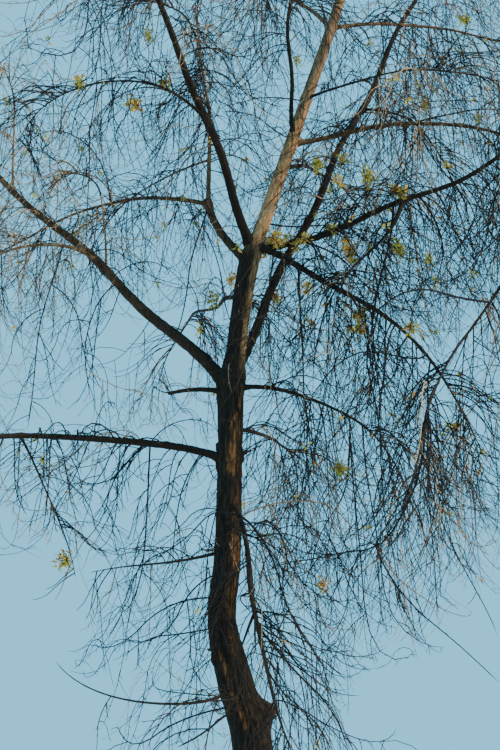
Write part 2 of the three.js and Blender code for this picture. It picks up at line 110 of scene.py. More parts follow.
LIMBS = (
    limb("left_bough", "trunk", 5.56, (167, 6), (47, 43, -25), (3.98, 1.5), (65, 28), (1.25, 50, 26)),
    limb(
        "left_hanging_limb", "left_bough", 0.54, (207, 12), (30, -63, -60),
        (1.45, 1.1), (22, 9), (0.9, 55, 20),
    ),
    limb(
        "left_inner_shoot", "left_bough", 0.5, (111, 80), (88, 72, -35),
        (0.97, 0.9), (15, 8), (0.9, 60, 20),
    ),
    limb(
        "left_outer_shoot", "left_bough", 0.88, (182, -80), (79, 88, 30),
        (1.08, 1.2), (16, 8), (0.95, 30, 20),
    ),
    limb("low_left_bough", "trunk", 4.82, (196, 21), (14, -26, -30), (3.24, 1.6), (40, 17), (1.15, 60, 20)),
    limb(
        "low_left_hanging_limb", "low_left_bough", 0.64, (34, -80), (-55, -60, -75),
        (0.58, 0.9), (13, 7), (0.7, 50, 12),
    ),
    limb("right_leader", "trunk", 5.71, (18, 9), (66, 65, 5), (6, 1.6), (50, 24), (1.25, 40, 40)),
    limb(
        "right_leader_limb", "right_leader", 0.63, (-11, -15), (-13, -59, -70),
        (0.86, 1), (16, 9), (1, 60, 30),
    ),
    limb("low_right_bough", "trunk", 5.57, (-9, 65), (4, -22, -70), (1.2, 1.3), (26, 12), (1.2, 70, 26)),
    limb(
        "low_front_bough", "trunk", 4.39, (-77, 88), (-13, -89, -63),
        (0.9, 1.7), (22, 24), (1.15, 50, 24),
    ),
    limb("upper_left_bough", "trunk", 7.09, (228, 3), (60, 52, 10), (3.63, 1.6), (50, 24), (1.25, 45, 34)),
    limb(
        "upper_left_limb", "upper_left_bough", 0.4, (221, -80), (17, 0, -60),
        (1.1, 1.2), (18, 9), (1.05, 60, 24),
    ),
    limb("left_fork", "trunk", 6.96, (159, 7), (38, 84, 70), (0.97, 0), (48, 37)),
    limb(
        "left_arching_bough", "left_fork", 0.93, (129, 80), (40, -24, -50),
        (2.12, 1.5), (27, 13), (1.15, 60, 24),
    ),
    limb(
        "left_rising_bough", "left_fork", 0.95, (79, 80), (84, 67, 20),
        (2.64, 1.7), (25, 13), (1.15, 40, 24),
    ),
    limb(
        "left_rising_limb", "left_rising_bough", 0.22, (164, 4), (-11, -30, -70),
        (0.86, 1), (13, 7), (0.9, 60, 20),
    ),
    limb(
        "upper_front_bough", "trunk", 8.45, (260, 33), (24, 16, -30),
        (2.35, 1.6), (25, 13), (1.2, 45, 26),
    ),
    limb("upper_right_bough", "trunk", 8.34, (2, 15), (22, -11, -50), (2.74, 1.5), (30, 14), (1.2, 60, 38)),
    limb("top_right_bough", "trunk", 9.83, (30, -19), (23, 3, -50), (2.16, 1.5), (24, 11), (1.15, 45, 38)),
    limb(
        "upper_right_front_bough", "trunk", 8.91, (-48, 40), (-9, -6, -50),
        (1.2, 1.5), (16, 9), (1.1, 60, 36),
    ),
    limb("top_left_bough", "trunk", 9.81, (137, -4), (59, 42, -20), (1.74, 1.4), (26, 13), (1.15, 35, 36)),
    limb("right_bough", "trunk", 7.08, (7, -66), (18, 17, -50), (3.42, 1.4), (36, 17), (1.25, 65, 40)),
    limb(
        "right_hanging_limb", "right_bough", 0.49, (216, -8), (-70, -44, -88),
        (1.08, 1), (23, 10), (1, 70, 26),
    ),
    limb(
        "right_weeping_limb", "right_bough", 0.87, (-100, -90), (-83, -47, -88),
        (2.75, 1.2), (24, 11), (1.05, 75, 30),
    ),
    limb(
        "right_drooping_bough", "trunk", 7.14, (-29, 24), (-28, -49, -80),
        (2.16, 1.3), (38, 15), (1.2, 70, 30),
    ),
    limb("upper_back_bough", "trunk", 8.1, (78, -25), (32, 14, -45), (2.3, 1.5), (30, 13), (1.2, 45, 26)),
    limb("back_bough", "trunk", 6.5, (98, 20), (26, 12, -50), (2.6, 1.5), (32, 14), (1.2, 55, 26)),
    limb("low_back_bough", "trunk", 5.1, (66, 18), (20, 4, -60), (2, 1.4), (26, 12), (1.2, 60, 26)),
    limb("dead_stub", "trunk", 5.51, (206, -35), (10, -4, 0), (0.65, 0), (30, 17)),
    limb(
        "upper_trunk_shoots", "trunk", 3.94, (189, 4), (10, -10, -15),
        (0, 1.33), (20, 14), (0.85, 45, 15),
    ),
    limb(
        "lower_trunk_shoots", "trunk", 2.69, (226, -67), (-32, -36, 47),
        (0, 1.89), (20, 14), (0.9, 30, 17),
    ),
    limb("top", "trunk", 11.65, (40, -60), (76, 70, 40), (0, 1.3), (36, 30), (1.15, 35, 26)),
)
INDEX = {limb.name: i for i, limb in enumerate(LIMBS)}
MASSES = [limb for limb in LIMBS if limb.stem > 0]
BOUGHS = [limb for limb in LIMBS if limb.bough > 0]

# Which pieces of the crown hold the twigs of which limbs
CROWN = {
    "left_crown_twigs": (
        "left_bough", "left_hanging_limb", "left_inner_shoot", "left_outer_shoot",
        "left_arching_bough", "left_rising_limb", "left_fork",
    ),
    "low_left_twigs": (
        "low_left_bough", "low_left_hanging_limb", "upper_trunk_shoots", "lower_trunk_shoots",
    ),
    "upper_crown_twigs": (
        "upper_left_bough", "upper_left_limb", "left_rising_bough", "top_left_bough", "top",
        "upper_front_bough",
    ),
    "right_crown_twigs": (
        "right_bough", "right_hanging_limb", "right_drooping_bough", "upper_right_front_bough",
    ),
    "upper_right_twigs": ("right_leader", "right_leader_limb", "upper_right_bough", "top_right_bough"),
    "low_right_twigs": ("low_right_bough", "low_front_bough", "right_weeping_limb"),
    "back_crown_twigs": ("upper_back_bough", "back_bough", "low_back_bough"),
}

# Thin branches that stand out in the photograph, bare of bark relief. Each leaves a limb, the trunk or
# another branch. Its line follows the limbs' rule, and past a limb's joint its place is above 1.
Branch = namedtuple("Branch", "name on at heading turn rises length foot")
BRANCH_ROWS = (
    ("fork_arch", "trunk", 7.42, 85, -107, (21, 20, -45), 2.19, 0.014),
    ("low_fork_arch", "right_bough", 0.15, -24, -37, (-22, -39, -67), 1.1, 0.012),
    ("drooping_whip", "right_drooping_bough", 0.27, -76, -11, (-79, -89, -72), 1.7, 0.013),
    ("long_weeping_branch", "right_bough", 0.46, -159, 103, (-89, -48, -86), 3.52, 0.014),
    ("right_arch", "right_weeping_limb", 0.8, -103, -95, (-30, 8, -61), 1.68, 0.015),
    ("right_inner_droop", "right_bough", 0.54, 25, 110, (-49, -11, -56), 1.5, 0.012),
    ("leader_left_lateral", "trunk", 8.4, 106, 86, (42, 46, -20), 1.24, 0.010),
    ("leader_upper_lateral", "trunk", 8.87, -174, 47, (14, -36, -28), 1.19, 0.009),
    ("lower_arch", "upper_left_limb", 0.36, -135, -42, (-5, -35, -60), 1.22, 0.009),
    ("plumb_twig", "lower_arch", 0.98, 76, 16, (-73, -89, -89), 1.22, 0.008),
    ("first_hook", "upper_left_bough", 0.94, -124, -10, (-46, -89, 4), 2.66, 0.010),
    ("second_hook", "upper_left_bough", 0.9, -145, 49, (-54, -89, -33), 2.45, 0.009),
    ("third_hook", "upper_left_bough", 0.77, 170, 11, (-63, -41, 34), 0.72, 0.007),
    ("fourth_hook", "upper_left_bough", 0.95, -92, -110, (-43, -72, -18), 2.19, 0.009),
    ("fork_plumb_twig", "left_fork", 0.91, -141, 3, (-64, -89, -59), 1.72, 0.011),
    ("left_bough_arch", "left_bough", 0.47, -4, -17, (44, -34, -57), 1.07, 0.007),
    ("left_bough_droop", "left_bough", 0.45, -146, 110, (-49, -59, -86), 1.79, 0.009),
    ("recurved_twig", "left_bough_droop", 0.79, 26, -26, (-26, -3, -81), 1.02, 0.006),
    ("left_long_droop", "left_hanging_limb", 0.28, -77, -110, (-55, -82, -89), 2.34, 0.010),
    ("low_left_arch", "low_left_bough", 0.25, -19, -15, (52, -6, -44), 0.84, 0.007),
    ("low_left_droop", "low_left_bough", 0.25, -106, 1, (-89, -78, -46), 1.86, 0.010),
    ("low_left_fan", "low_left_bough", 0.26, 140, 110, (-13, -85, -40), 1.28, 0.009),
    ("bent_stub", "trunk", 3.9, 150, 50, (24, 8, -12), 0.28, 0.013),
    ("middle_shoot", "trunk", 3.7, 126, 65, (13, -65, 15), 1.39, 0.010),
    ("lower_shoot", "trunk", 3.47, 155, 110, (15, -47, 9), 1.66, 0.009),
    ("lowest_shoot", "trunk", 3.22, 158, 9, (-4, -2, -57), 1.08, 0.009),
    ("drooping_stub", "trunk", 2.49, -95, -54, (-7, -32, -19), 1.16, 0.015),
    ("low_drooping_shoot", "trunk", 2.51, -165, -84, (-13, -23, 54), 1.6, 0.010),
    ("base_fan", "trunk", 2.58, -95, -46, (-5, -1, -75), 1.89, 0.010),
    ("base_rising_twig", "trunk", 2.63, 148, -9, (-4, 26, 34), 1.16, 0.007),
    ("base_low_fan", "trunk", 2.98, -130, -17, (-11, -58, -54), 1.11, 0.007),
    ("knot_twig", "trunk", 2.58, 170, 112, (-2, 6, 22), 1.3, 0.007),
    ("front_second_strand", "low_front_bough", 0.4, -77, 72, (-7, -78, -49), 1.96, 0.014),
    ("front_arch", "low_front_bough", 0.4, 17, 21, (38, -8, -67), 1.52, 0.009),
    ("front_fan", "low_front_bough", 1.48, -84, 90, (-38, -24, -40), 1.34, 0.009),
    ("front_low_fan", "low_front_bough", 1.6, -2, 24, (-60, -35, -78), 1.35, 0.013),
    ("low_right_fall", "low_right_bough", 1.04, 90, 52, (-84, -35, -89), 1.75, 0.010),
    ("low_right_hook", "low_right_bough", 1.04, 57, 0, (-89, -80, 39), 3.22, 0.009),
    ("low_right_strand", "low_right_bough", 1.17, 75, -34, (-66, -72, 18), 2.95, 0.009),
    ("right_plumb_strand", "right_drooping_bough", 1.09, 94, -25, (-34, -77, -89), 2.65, 0.010),
    ("right_long_curve", "right_weeping_limb", 1.3, 108, 10, (-78, 13, -4), 3.46, 0.012),
    ("right_long_fall", "right_long_curve", 0.45, -45, 14, (-67, -42, -40), 1.77, 0.009),
    ("right_second_curve", "right_long_curve", 0.45, 28, -130, (-68, -29, 16), 1.46, 0.006),
    ("right_outer_fall", "right_plumb_strand", 0.34, 93, -139, (-37, -67, -72), 2.11, 0.009),
    ("inner_hook", "low_right_fall", 0.7, -28, -37, (-63, -62, -6), 1.57, 0.006),
    ("inner_fall", "low_right_fall", 0.98, -49, -54, (-53, -43, -57), 1.39, 0.005),
    ("front_hook", "front_fan", 0.22, 59, -33, (37, -58, 49), 1.74, 0.007),
    ("front_low_hook", "low_front_bough", 2.09, -60, 142, (-46, -17, 27), 1.77, 0.007),
    ("front_brace", "front_second_strand", 0.24, 98, 13, (22, 5, -6), 0.39, 0.009),
    ("front_loop", "low_front_bough", 1.28, 127, -83, (3, -10, -36), 0.54, 0.011),
    ("front_left_strand", "low_front_bough", 1.48, -163, 0, (-70, -75, -72), 0.33, 0.017),
    ("front_cross_twig", "low_front_bough", 1.48, 25, 33, (9, -15, -71), 0.76, 0.010),
    ("front_second_arch", "front_second_strand", 0.21, 43, 56, (45, -52, -80), 1.14, 0.008),
    ("front_third_arch", "front_second_arch", 0.27, 89, -62, (21, -51, -66), 0.97, 0.006),
    ("front_inner_strand", "low_front_bough", 1.76, -125, 46, (-40, -24, -89), 0.56, 0.009),
    ("front_lowest_fan", "low_front_bough", 2.36, 53, -34, (9, -31, -69), 0.82, 0.009),
    ("lower_second_shoot", "lower_shoot", 0.21, -161, 28, (-16, -55, -9), 0.7, 0.006),
    ("low_left_tip", "low_left_droop", 0.61, -161, -10, (-68, -74, -51), 0.76, 0.006),
    ("left_sweep", "left_bough", 0.31, -138, -26, (-72, -50, 0), 0.94, 0.006),
    ("stub_twig", "dead_stub", 0.97, 190, 20, (2, 18, 30), 0.16, 0.009),
    ("stub_rising_twig", "dead_stub", 0.99, 175, -20, (60, 84, 88), 0.26, 0.006),
    ("droop_arch", "right_drooping_bough", 1.05, -98, -99, (-38, 0, -62), 1.72, 0.012),
    ("weeping_fall", "right_weeping_limb", 1.17, -122, -16, (-45, -67, -60), 1.37, 0.016),
    ("weeping_second_fall", "weeping_fall", 0.41, -83, -54, (-33, -69, -75), 0.94, 0.011),
    ("hanging_fall", "right_hanging_limb", 1.1, -171, 28, (-45, -78, -85), 1.25, 0.012),
    ("weeping_outer_fall", "right_weeping_limb", 0.8, 79, -21, (2, -12, -89), 1.14, 0.013),
    ("upper_right_fall", "upper_right_bough", 0.54, -124, -52, (-62, -50, -86), 1.6, 0.012),
    ("upper_right_second_fall", "upper_right_bough", 0.53, -20, 24, (-77, -53, -69), 1.12, 0.010),
    ("leader_arch", "right_leader", 0.62, -34, -1, (-9, -44, -66), 0.87, 0.011),
    ("leader_twig", "leader_arch", 0.57, 79, -170, (57, -1, -47), 1.65, 0.008),
    ("top_right_fall", "top_right_bough", 0.65, -86, 62, (-89, -48, -63), 1.68, 0.009),
    ("upper_right_arch", "upper_right_bough", 0.51, 28, -28, (39, 14, -20), 1.38, 0.013),
    ("upper_right_low_arch", "upper_right_bough", 0.66, -21, 14, (1, -58, -60), 0.72, 0.011),
    ("left_high_arch", "left_arching_bough", 0.71, -125, -124, (77, 30, -89), 2.08, 0.010),
    ("left_low_arch", "left_arching_bough", 0.7, -147, -14, (82, -13, -60), 1.13, 0.009),
)
BRANCHES = [Branch(*row) for row in BRANCH_ROWS]

# The branches that leave the trunk or the stub, under the limb whose piece of the crown holds them
TRUNK_BRANCHES = {
    "right_drooping_bough": ("fork_arch",),
    "top": ("leader_left_lateral", "leader_upper_lateral"),
    "left_bough": ("stub_twig", "stub_rising_twig"),
    "upper_trunk_shoots": ("bent_stub", "middle_shoot", "lower_shoot"),
    "lower_trunk_shoots": (
        "lowest_shoot", "drooping_stub", "low_drooping_shoot", "base_fan", "base_rising_twig",
        "base_low_fan", "knot_twig",
    ),
}

# Side branches by the rule: how many to a metre of bough, their reach and droop, and where they begin
SIDES = {
    "left_bough": (4.5, 1.6, 64, 0.42),
    "left_hanging_limb": (9, 1.3, 78, 0.1),
    "left_inner_shoot": (7, 1.0, 60, 0.1),
    "left_outer_shoot": (9, 0.8, 35, 0.1),
    "low_left_bough": (13, 1.7, 85, 0.05),
    "low_left_hanging_limb": (6, 0.7, 50, 0.3),
    "right_leader": (6, 1.5, 72, 0.3),
    "right_leader_limb": (12, 1.5, 74, 0.05),
    "low_right_bough": (14, 1.8, 82, 0.12),
    "low_front_bough": (14, 1.8, 72, 0.2),
    "upper_left_bough": (10, 1.5, 66, 0.26),
    "upper_left_limb": (13, 1.2, 72, 0.1),
    "left_fork": (7, 1.0, 60, 0.45),
    "left_arching_bough": (10, 1.1, 64, 0.15),
    "left_rising_bough": (9, 1.3, 58, 0.15),
    "left_rising_limb": (10, 1.0, 64, 0.1),
    "upper_front_bough": (8, 1.3, 60, 0.45),
    "upper_right_bough": (12, 1.5, 78, 0.1),
    "top_right_bough": (11, 1.5, 74, 0.12),
    "upper_right_front_bough": (12, 1.3, 66, 0.1),
    "top_left_bough": (10, 1.6, 66, 0.15),
    "right_bough": (14, 1.9, 82, 0.1),
    "right_hanging_limb": (13, 1.6, 80, 0.05),
    "right_weeping_limb": (12, 1.6, 76, 0.05),
    "right_drooping_bough": (15, 1.9, 82, 0.1),
    "upper_back_bough": (8, 1.5, 68, 0.15),
    "back_bough": (8, 1.5, 68, 0.15),
    "low_back_bough": (8, 1.4, 72, 0.15),
}

# Parts of the crown that the photograph shows as open sky, by x and height in the plane of the trunk
# as seen from the camera, with half the width and half the height of each
OPEN_SKY = (
    (-1.32, 5.98, 0.22, 0.33),
    (-0.76, 6.10, 0.25, 0.30),
    (-2.15, 3.45, 0.60, 0.42),
    (-2.20, 2.55, 0.65, 0.32),
    (1.75, 2.45, 0.85, 0.45),
    (2.35, 3.10, 0.45, 0.30),
)

# How a limb's line sways: over what length, and by how much in heading and rise
LINE_STEPS = 24
SWAY_LENGTH, SWAY_HEADING, SWAY_RISE, SWAY_RISE_RATE, SWAY_PHASE = 1.3, 7, 5, 0.7, 0.37

# The swelling of a bough's foot
COLLAR_SWELL, COLLAR_FADE = 0.45, 1.2

# How a twig leaves its stem and then turns, droops and lifts
SPIRAL_ALONG, SPIRAL_AROUND, SPIRAL_SCATTER = 0.618034, 137.5, 50
OPENING_LEAST, OPENING_MORE = 48, 30
HANG_TURN, HANG_FOLLOW, HANG_LEAST, HANG_MORE, HANG_LOWEST = 80, 0.35, 0.6, 0.5, -84
HANG_LIFT, HANG_MORE_LIFT = 15, 0.8
TWIG_FROM, TWIG_TO, TWIG_JOINT = 0.05, 0.97, 0.55
TWIG_LEAST, TWIG_SHORTER = 0.6, 0.3
TWIGS_TRIED = 120

# Limbs are taken as short straight segments when twigs are kept clear of them, and points in blocks
SEGMENT_LENGTH, POINTS_AT_ONCE = 0.15, 4000

# A twig's nearest stem is found with every third point of the stems
STEM_SKIP = 3

# Side branches: their first number, their seed, and where on the bough they end; the bare length at the
# bough's foot, the furthest share at which they begin, and how near their own foot they may touch it
SIDE_NUMBER, SIDE_SEED, SIDE_TO = 500, 40, 0.99
SIDE_BARE_FOOT, SIDE_LATEST_START, SIDE_NEAR_FOOT = 0.10, 0.6, 0.09

# Finer shoots: where on their parent they begin and end, and how far they stray from even places
SHOOT_FROM, SHOOT_TO, SHOOT_EARLIEST, SHOOT_STRAY = 0.07, 0.98, 0.1, 0.8

# How thick they may be beside their parent, how their radii differ, and how thin their tips are
SHOOT_THICKEST, SHOOT_THIN, SHOOT_THICKER, SHOOT_TIP = 0.85, 0.75, 0.5, 0.55

# The share that keep their parent's tone, how fast they sway, and the steps by which chances and turns
# differ from one parent's shoots to the next one's
TONE_KEPT, SHOOT_SWAY, PARENT_CHANCE, PARENT_TURN = 0.93, 1.4, 89.0, 3.0

# Cells in which twigs are counted, and how many may pass through one: of the whips, and of the side shoots
CROWD_CELL, CROWD_WHIPS, CROWD_SHOOTS = 0.25, 5.0, 7.5

# The room that twigs keep to limbs and to the next mass, the bare foot of those on the trunk, and the
# room that side branches and shoots keep to limbs
ROOM_LIMB, ROOM_MASS, ROOM_FOOT = 0.030, 0.036, 0.080
ROOM_SIDE, ROOM_SHOOT = 0.012, 0.004

# Where the photograph was taken from, and its angle upwards
EYE = (0.0, -11.3, 1.6)
LOOK_UP = 20.0
LENS = 57.6


def length_property(name, description, default):
    """A length that a user can change."""
    return bpy.props.FloatProperty(name=name, description=description, default=default, unit="LENGTH")


def colour_property(name, description, default):
    """A colour that a user can change."""
    return bpy.props.FloatVectorProperty(
        name=name, description=description, default=default, size=3, subtype="COLOR", min=0, max=1
    )


class TrunkSizes(bpy.types.PropertyGroup):
    """Sizes of the bark on the trunk and the boughs."""

    sides: bpy.props.IntProperty(name="Sides", description="Points round the trunk", default=124, min=24)
    ring_step: length_property("Ring step", "Distance between rings of the trunk", 0.026)
    plate_width: length_property("Plate width", "Width of a bark plate low on the trunk", 0.036)
    plate_stretch: bpy.props.FloatProperty(
        name="Plate stretch", description="Length of a bark plate in widths", default=8.0
    )
    furrow_depth: length_property("Furrow depth", "Depth of the furrows low on the trunk", 0.011)
    bough_step: length_property("Bough step", "Distance between rings of a bough", 0.03)


class TwigSizes(bpy.types.PropertyGroup):
    """Sizes of the twigs and of the young leaves."""

    twig_radius: length_property("Twig radius", "Radius of a long twig at its foot", 0.0070)
    whip_radius: length_property("Whip radius", "Radius of a hanging whip at its foot", 0.0058)
    whip_length: length_property("Whip length", "Length of the longest hanging whips", 1.9)
    whip_spacing: length_property("Whip spacing", "Distance between hanging whips", 0.22)
    shoot_radius: length_property("Shoot radius", "Radius of a side shoot at its foot", 0.0044)
    shoot_length: length_property("Shoot length", "Length of the longest side shoots", 0.50)
    shoot_spacing: length_property("Shoot spacing", "Distance between side shoots", 0.26)
    spur_radius: length_property("Spur radius", "Radius of a spur", 0.0033)
    spur_length: length_property("Spur length", "Length of the longest spurs", 0.11)
    spur_spacing: length_property("Spur spacing", "Distance between spurs", 0.15)
    leaf_length: length_property("Leaf length", "Length of a young leaf", 0.052)


class TreeColours(bpy.types.PropertyGroup):
    """Colours of the bark, the twigs and the young leaves."""

    ridge: colour_property("Ridges", "Bark on the ridges", (0.050, 0.031, 0.019))
    furrow: colour_property("Furrows", "Bark deep in the furrows", (0.009, 0.007, 0.005))
    bough: colour_property("Boughs", "Bark on the ridges of the boughs", (0.020, 0.013, 0.009))
    # The pale young colour, which also paints sunlight on the leader, the forks and the trunk's lit side
    upper_bark: colour_property("Upper bark", "Smoother bark of the leader", (0.58, 0.33, 0.15))
    # Bare wood, whose patches on the trunk's lit side are also painted sunlight
    bare_and_sunlit_wood: colour_property("Bare wood", "Wood where the bark has flaked", (0.34, 0.145, 0.045))
    lichen: colour_property("Lichen", "Grey-green growth on the bark", (0.055, 0.060, 0.036))
    # Dark twigs are painted shade; tan twigs are partly and pale twigs wholly painted sunlight
    dark_twig: colour_property("Dark twigs", "Twigs in the shade", (0.011, 0.008, 0.007))
    brown_twig: colour_property("Brown twigs", "Older twigs", (0.032, 0.021, 0.014))
    tan_twig: colour_property("Tan twigs", "Young twigs", (0.26, 0.16, 0.085))
    pale_twig: colour_property("Pale twigs", "Sunlit shoots", (0.42, 0.31, 0.19))
    leaf: colour_property("Young leaves", "Yellow-green leaves", (0.66, 0.56, 0.08))
    green_leaf: colour_property("Green leaves", "Leaves further out", (0.30, 0.34, 0.055))
    flower: colour_property("Flowers", "Ochre flowers and bud scales", (0.64, 0.38, 0.08))


class StageSettings(bpy.types.PropertyGroup):
    """The plain floor and the soft light."""

    floor_size: length_property("Floor size", "Side of the plain floor", 120.0)
    sun_strength: bpy.props.FloatProperty(name="Key light", description="Strength of the key", default=8.5)
    sun_width: bpy.props.FloatProperty(
        name="Key width",
        description="Angle that the key light fills",
        default=math.radians(9),
        subtype="ANGLE",
    )
    sky_strength: bpy.props.FloatProperty(
        name="Fill light", description="Strength of the fill", default=1.45
    )
    sky_colour: colour_property("Backdrop", "Colour of the plain backdrop", (0.19, 0.60, 0.88))


def fraction(x):
    """The part of x after the point."""
    return x - np.floor(x)


def chance(mass, twig, use):
    """A repeatable number from 0 to 1 for a mass, a twig and a use."""
    return fraction(np.sin(mass * 12.9898 + twig * 78.233 + use * 37.719) * 43758.5453)


def unit(vectors):
    """Vectors of length 1 along the last axis."""
    return vectors / np.maximum(np.linalg.norm(vectors, axis=-1, keepdims=True), 1e-12)


def direction(heading, rise):
    """Unit vectors for headings and rises in degrees."""
    h, r = np.radians(heading), np.radians(rise)
    return np.stack([np.cos(r) * np.cos(h), np.cos(r) * np.sin(h), np.sin(r)], axis=-1)


def grow(starts, heading, turn, rises, length, joint, phase, steps=LINE_STEPS, sway_length=SWAY_LENGTH):
    """The middle lines of many limbs or twigs at once, in equal steps: an array (line, step, xyz)."""
    share = (np.arange(steps) + 0.5) / steps
    heading, turn, length, joint, phase = (
        np.atleast_1d(np.asarray(each, float))[:, None] for each in (heading, turn, length, joint, phase)
    )
    rises = np.atleast_2d(np.asarray(rises, float))[:, :, None]
    sway = 2 * np.pi * (share * length / sway_length + phase)
    before = rises[:, 0] + (rises[:, 1] - rises[:, 0]) * share / np.maximum(joint, 1e-9)
    after = rises[:, 1] + (rises[:, 2] - rises[:, 1]) * (share - joint) / np.maximum(1 - joint, 1e-9)
    rise = np.where(share < joint, before, after)
    heading = heading + turn * share + SWAY_HEADING * np.sin(sway)
    way = direction(heading, rise + SWAY_RISE * np.cos(SWAY_RISE_RATE * sway))
    moves = np.cumsum(way * (length / steps)[..., None], axis=1)
    starts = np.atleast_2d(starts)[:, None, :]
    return np.concatenate([starts, starts + moves], axis=1)


def along(line, share):
    """Points and directions at shares of one line."""
    last = len(line) - 1
    place = np.clip(np.asarray(share, float) * last, 0, last - 1e-6)
    i = np.floor(place).astype(int)
    part = (place - i)[..., None]
    return line[i] + (line[i + 1] - line[i]) * part, unit(line[i + 1] - line[i])


def trunk_middle(places):
    """Points up the middle of the trunk: a centripetal spline through the stations."""
    points = np.array([(x, y, height) for height, x, y, _ in TRUNK_STATIONS])
    points = np.vstack([2 * points[0] - points[1], points, 2 * points[-1] - points[-2]])
    span = np.clip(np.floor(places).astype(int), 0, len(TRUNK_STATIONS) - 2)
    t = (places - span)[:, None]
    p0, p1, p2, p3 = (points[span + i] for i in range(4))
    gaps = (np.linalg.norm(b - a, axis=1) for a, b in ((p0, p1), (p1, p2), (p2, p3)))
    d0, d1, d2 = (np.sqrt(gap)[:, None] for gap in gaps)
    out_way = ((p1 - p0) / d0 - (p2 - p0) / (d0 + d1) + (p2 - p1) / d1) * d1
    in_way = ((p2 - p1) / d1 - (p3 - p1) / (d1 + d2) + (p3 - p2) / d2) * d1
    square = -3 * p1 + 3 * p2 - 2 * out_way - in_way
    cube = 2 * p1 - 2 * p2 + out_way + in_way
    return p1 + out_way * t + square * t**2 + cube * t**3


def trunk_places(per_station):
    """The trunk's middle points and radii, so many to a station."""
    places = np.arange((len(TRUNK_STATIONS) - 1) * per_station + 1) / per_station
    radii = np.interp(places, np.arange(len(TRUNK_STATIONS)), [s[3] for s in TRUNK_STATIONS])
    return trunk_middle(places), radii


def trunk_at(height):
    """The trunk's middle and radius at a height."""
    points, radii = plan()["trunk"]
    return at_height(points, height), float(np.interp(height, points[:, 2], radii))


def at_height(points, height):
    """Where a line that rises all the way is at a height, or at several."""
    return np.stack([np.interp(height, points[:, 2], points[:, k]) for k in range(3)], axis=-1)


def bough_place(limb, share=1):
    """Where on a limb's whole line a share of its bough ends."""
    return share * limb.bough / (limb.bough + limb.stem)


def bough_radius(limb, parent_radius, place):
    """A bough's radius at distances along it, with its swollen foot."""
    taper = limb.foot + (limb.joint - limb.foot) * place / limb.bough
    beyond = np.maximum(0, place - parent_radius)
    return taper * (1 + COLLAR_SWELL * np.exp(-beyond / (COLLAR_FADE * limb.foot)))


@functools.lru_cache(maxsize=1)
def plan():
    """The trunk, then every limb's line, by the source's rule."""
    made = {"trunk": trunk_places(TRUNK_RINGS_PER_STATION)}
    trunk_points, trunk_radii = made["trunk"]
    for i, limb in enumerate(LIMBS):
        if limb.on == "trunk":
            foot = at_height(trunk_points, limb.at)
            inside = 0 if limb.name == "top" else float(np.interp(limb.at, trunk_points[:, 2], trunk_radii))
        else:
            parent = LIMBS[INDEX[limb.on]]
            foot = along(made[limb.on]["line"], bough_place(parent, limb.at))[0]
            inside = float(bough_radius(parent, made[limb.on]["inside"], limb.at * parent.bough))
        length, joint = limb.bough + limb.stem, bough_place(limb)
        line = grow(foot, limb.heading, limb.turn, limb.rises, length, joint, SWAY_PHASE * i)[0]
        shares = joint + (1 - joint) * np.arange(LINE_STEPS + 1) / LINE_STEPS
        stem = along(line, shares)[0] if limb.stem else None
        made[limb.name] = {"line": line, "inside": inside, "stem": stem, "index": i}
    return made


@functools.lru_cache(maxsize=1)
def limb_segments():
    """Ends and radii of the short lengths that every limb is made of."""
    points, radii = plan()["trunk"]
    starts, ends, first, last = [points[:-1]], [points[1:]], [radii[:-1]], [radii[1:]]
    for limb in BOUGHS:
        count = max(1, round(limb.bough / SEGMENT_LENGTH))
        place = np.linspace(0, limb.bough, count + 1)
        spots = along(plan()[limb.name]["line"], place / (limb.bough + limb.stem))[0]
        radius = bough_radius(limb, plan()[limb.name]["inside"], place)
        starts.append(spots[:-1])
        ends.append(spots[1:])
        first.append(radius[:-1])
        last.append(radius[1:])
    return tuple(np.concatenate(each) for each in (starts, ends, first, last))


def distances(points, starts, ends):
    """Distances from each point to each segment, and where on the segment."""
    edge = ends - starts
    share = ((points[:, None] - starts) * edge).sum(-1) / np.maximum((edge * edge).sum(-1), 1e-12)
    share = np.clip(share, 0, 1)
    nearest = starts + edge * share[..., None]
    return np.linalg.norm(points[:, None] - nearest, axis=-1), share


def clear_of_limbs(points, room=ROOM_LIMB):
    """Which points lie clear of every limb."""
    starts, ends, first, last = limb_segments()
    clear = np.empty(len(points), bool)
    for block in range(0, len(points), POINTS_AT_ONCE):
        some = slice(block, block + POINTS_AT_ONCE)
        distance, share = distances(points[some], starts, ends)
        clear[some] = (distance >= first + (last - first) * share + room).all(axis=1)
    return clear


def as_seen(points):
    """Where points show from the camera in the plane of the trunk: x and height."""
    nearer = -EYE[1] / (points[..., 1] - EYE[1])
    return points[..., 0] * nearer, EYE[2] + (points[..., 2] - EYE[2]) * nearer


def in_open_sky(points):
    """Which points show inside a part of the crown that is open."""
    x, height = as_seen(points)
    inside = np.zeros(x.shape, bool)
    for middle, level, half_width, half_height in OPEN_SKY:
        inside |= ((x - middle) / half_width) ** 2 + ((height - level) / half_height) ** 2 < 1
    return inside


def in_box(points):
    """Which points lie in the box of the solids."""
    return ((points >= SOLID_BOX[0]) & (points <= SOLID_BOX[1])).all(axis=-1)


def stem_distances(points):
    """The distance from each point to the stem of each mass."""
    columns = []
    for mass in MASSES:
        stem = plan()[mass.name]["stem"][::STEM_SKIP]
        columns.append(distances(points, stem[:-1], stem[1:])[0].min(axis=1))
    return np.stack(columns, axis=1)


def in_own_space(points, mass, room=ROOM_MASS):
    """Which points lie nearer to the stem of this mass than to any other."""
    away = stem_distances(points)
    own = MASSES.index(mass)
    others = np.delete(away, own, axis=1).min(axis=1)
    return others > away[:, own] + room


def side_ways(tangents, spread, angle):
    """Directions that open from tangents by a spread, turned round them by an angle, in radians."""
    side = unit(np.cross((0, 0, 1), tangents))
    over = np.cross(tangents, side)
    spread, angle = spread[:, None], angle[:, None]
    return (
        tangents * np.cos(spread)
        + side * np.sin(spread) * np.cos(angle)
        + over * np.sin(spread) * np.sin(angle)
    )


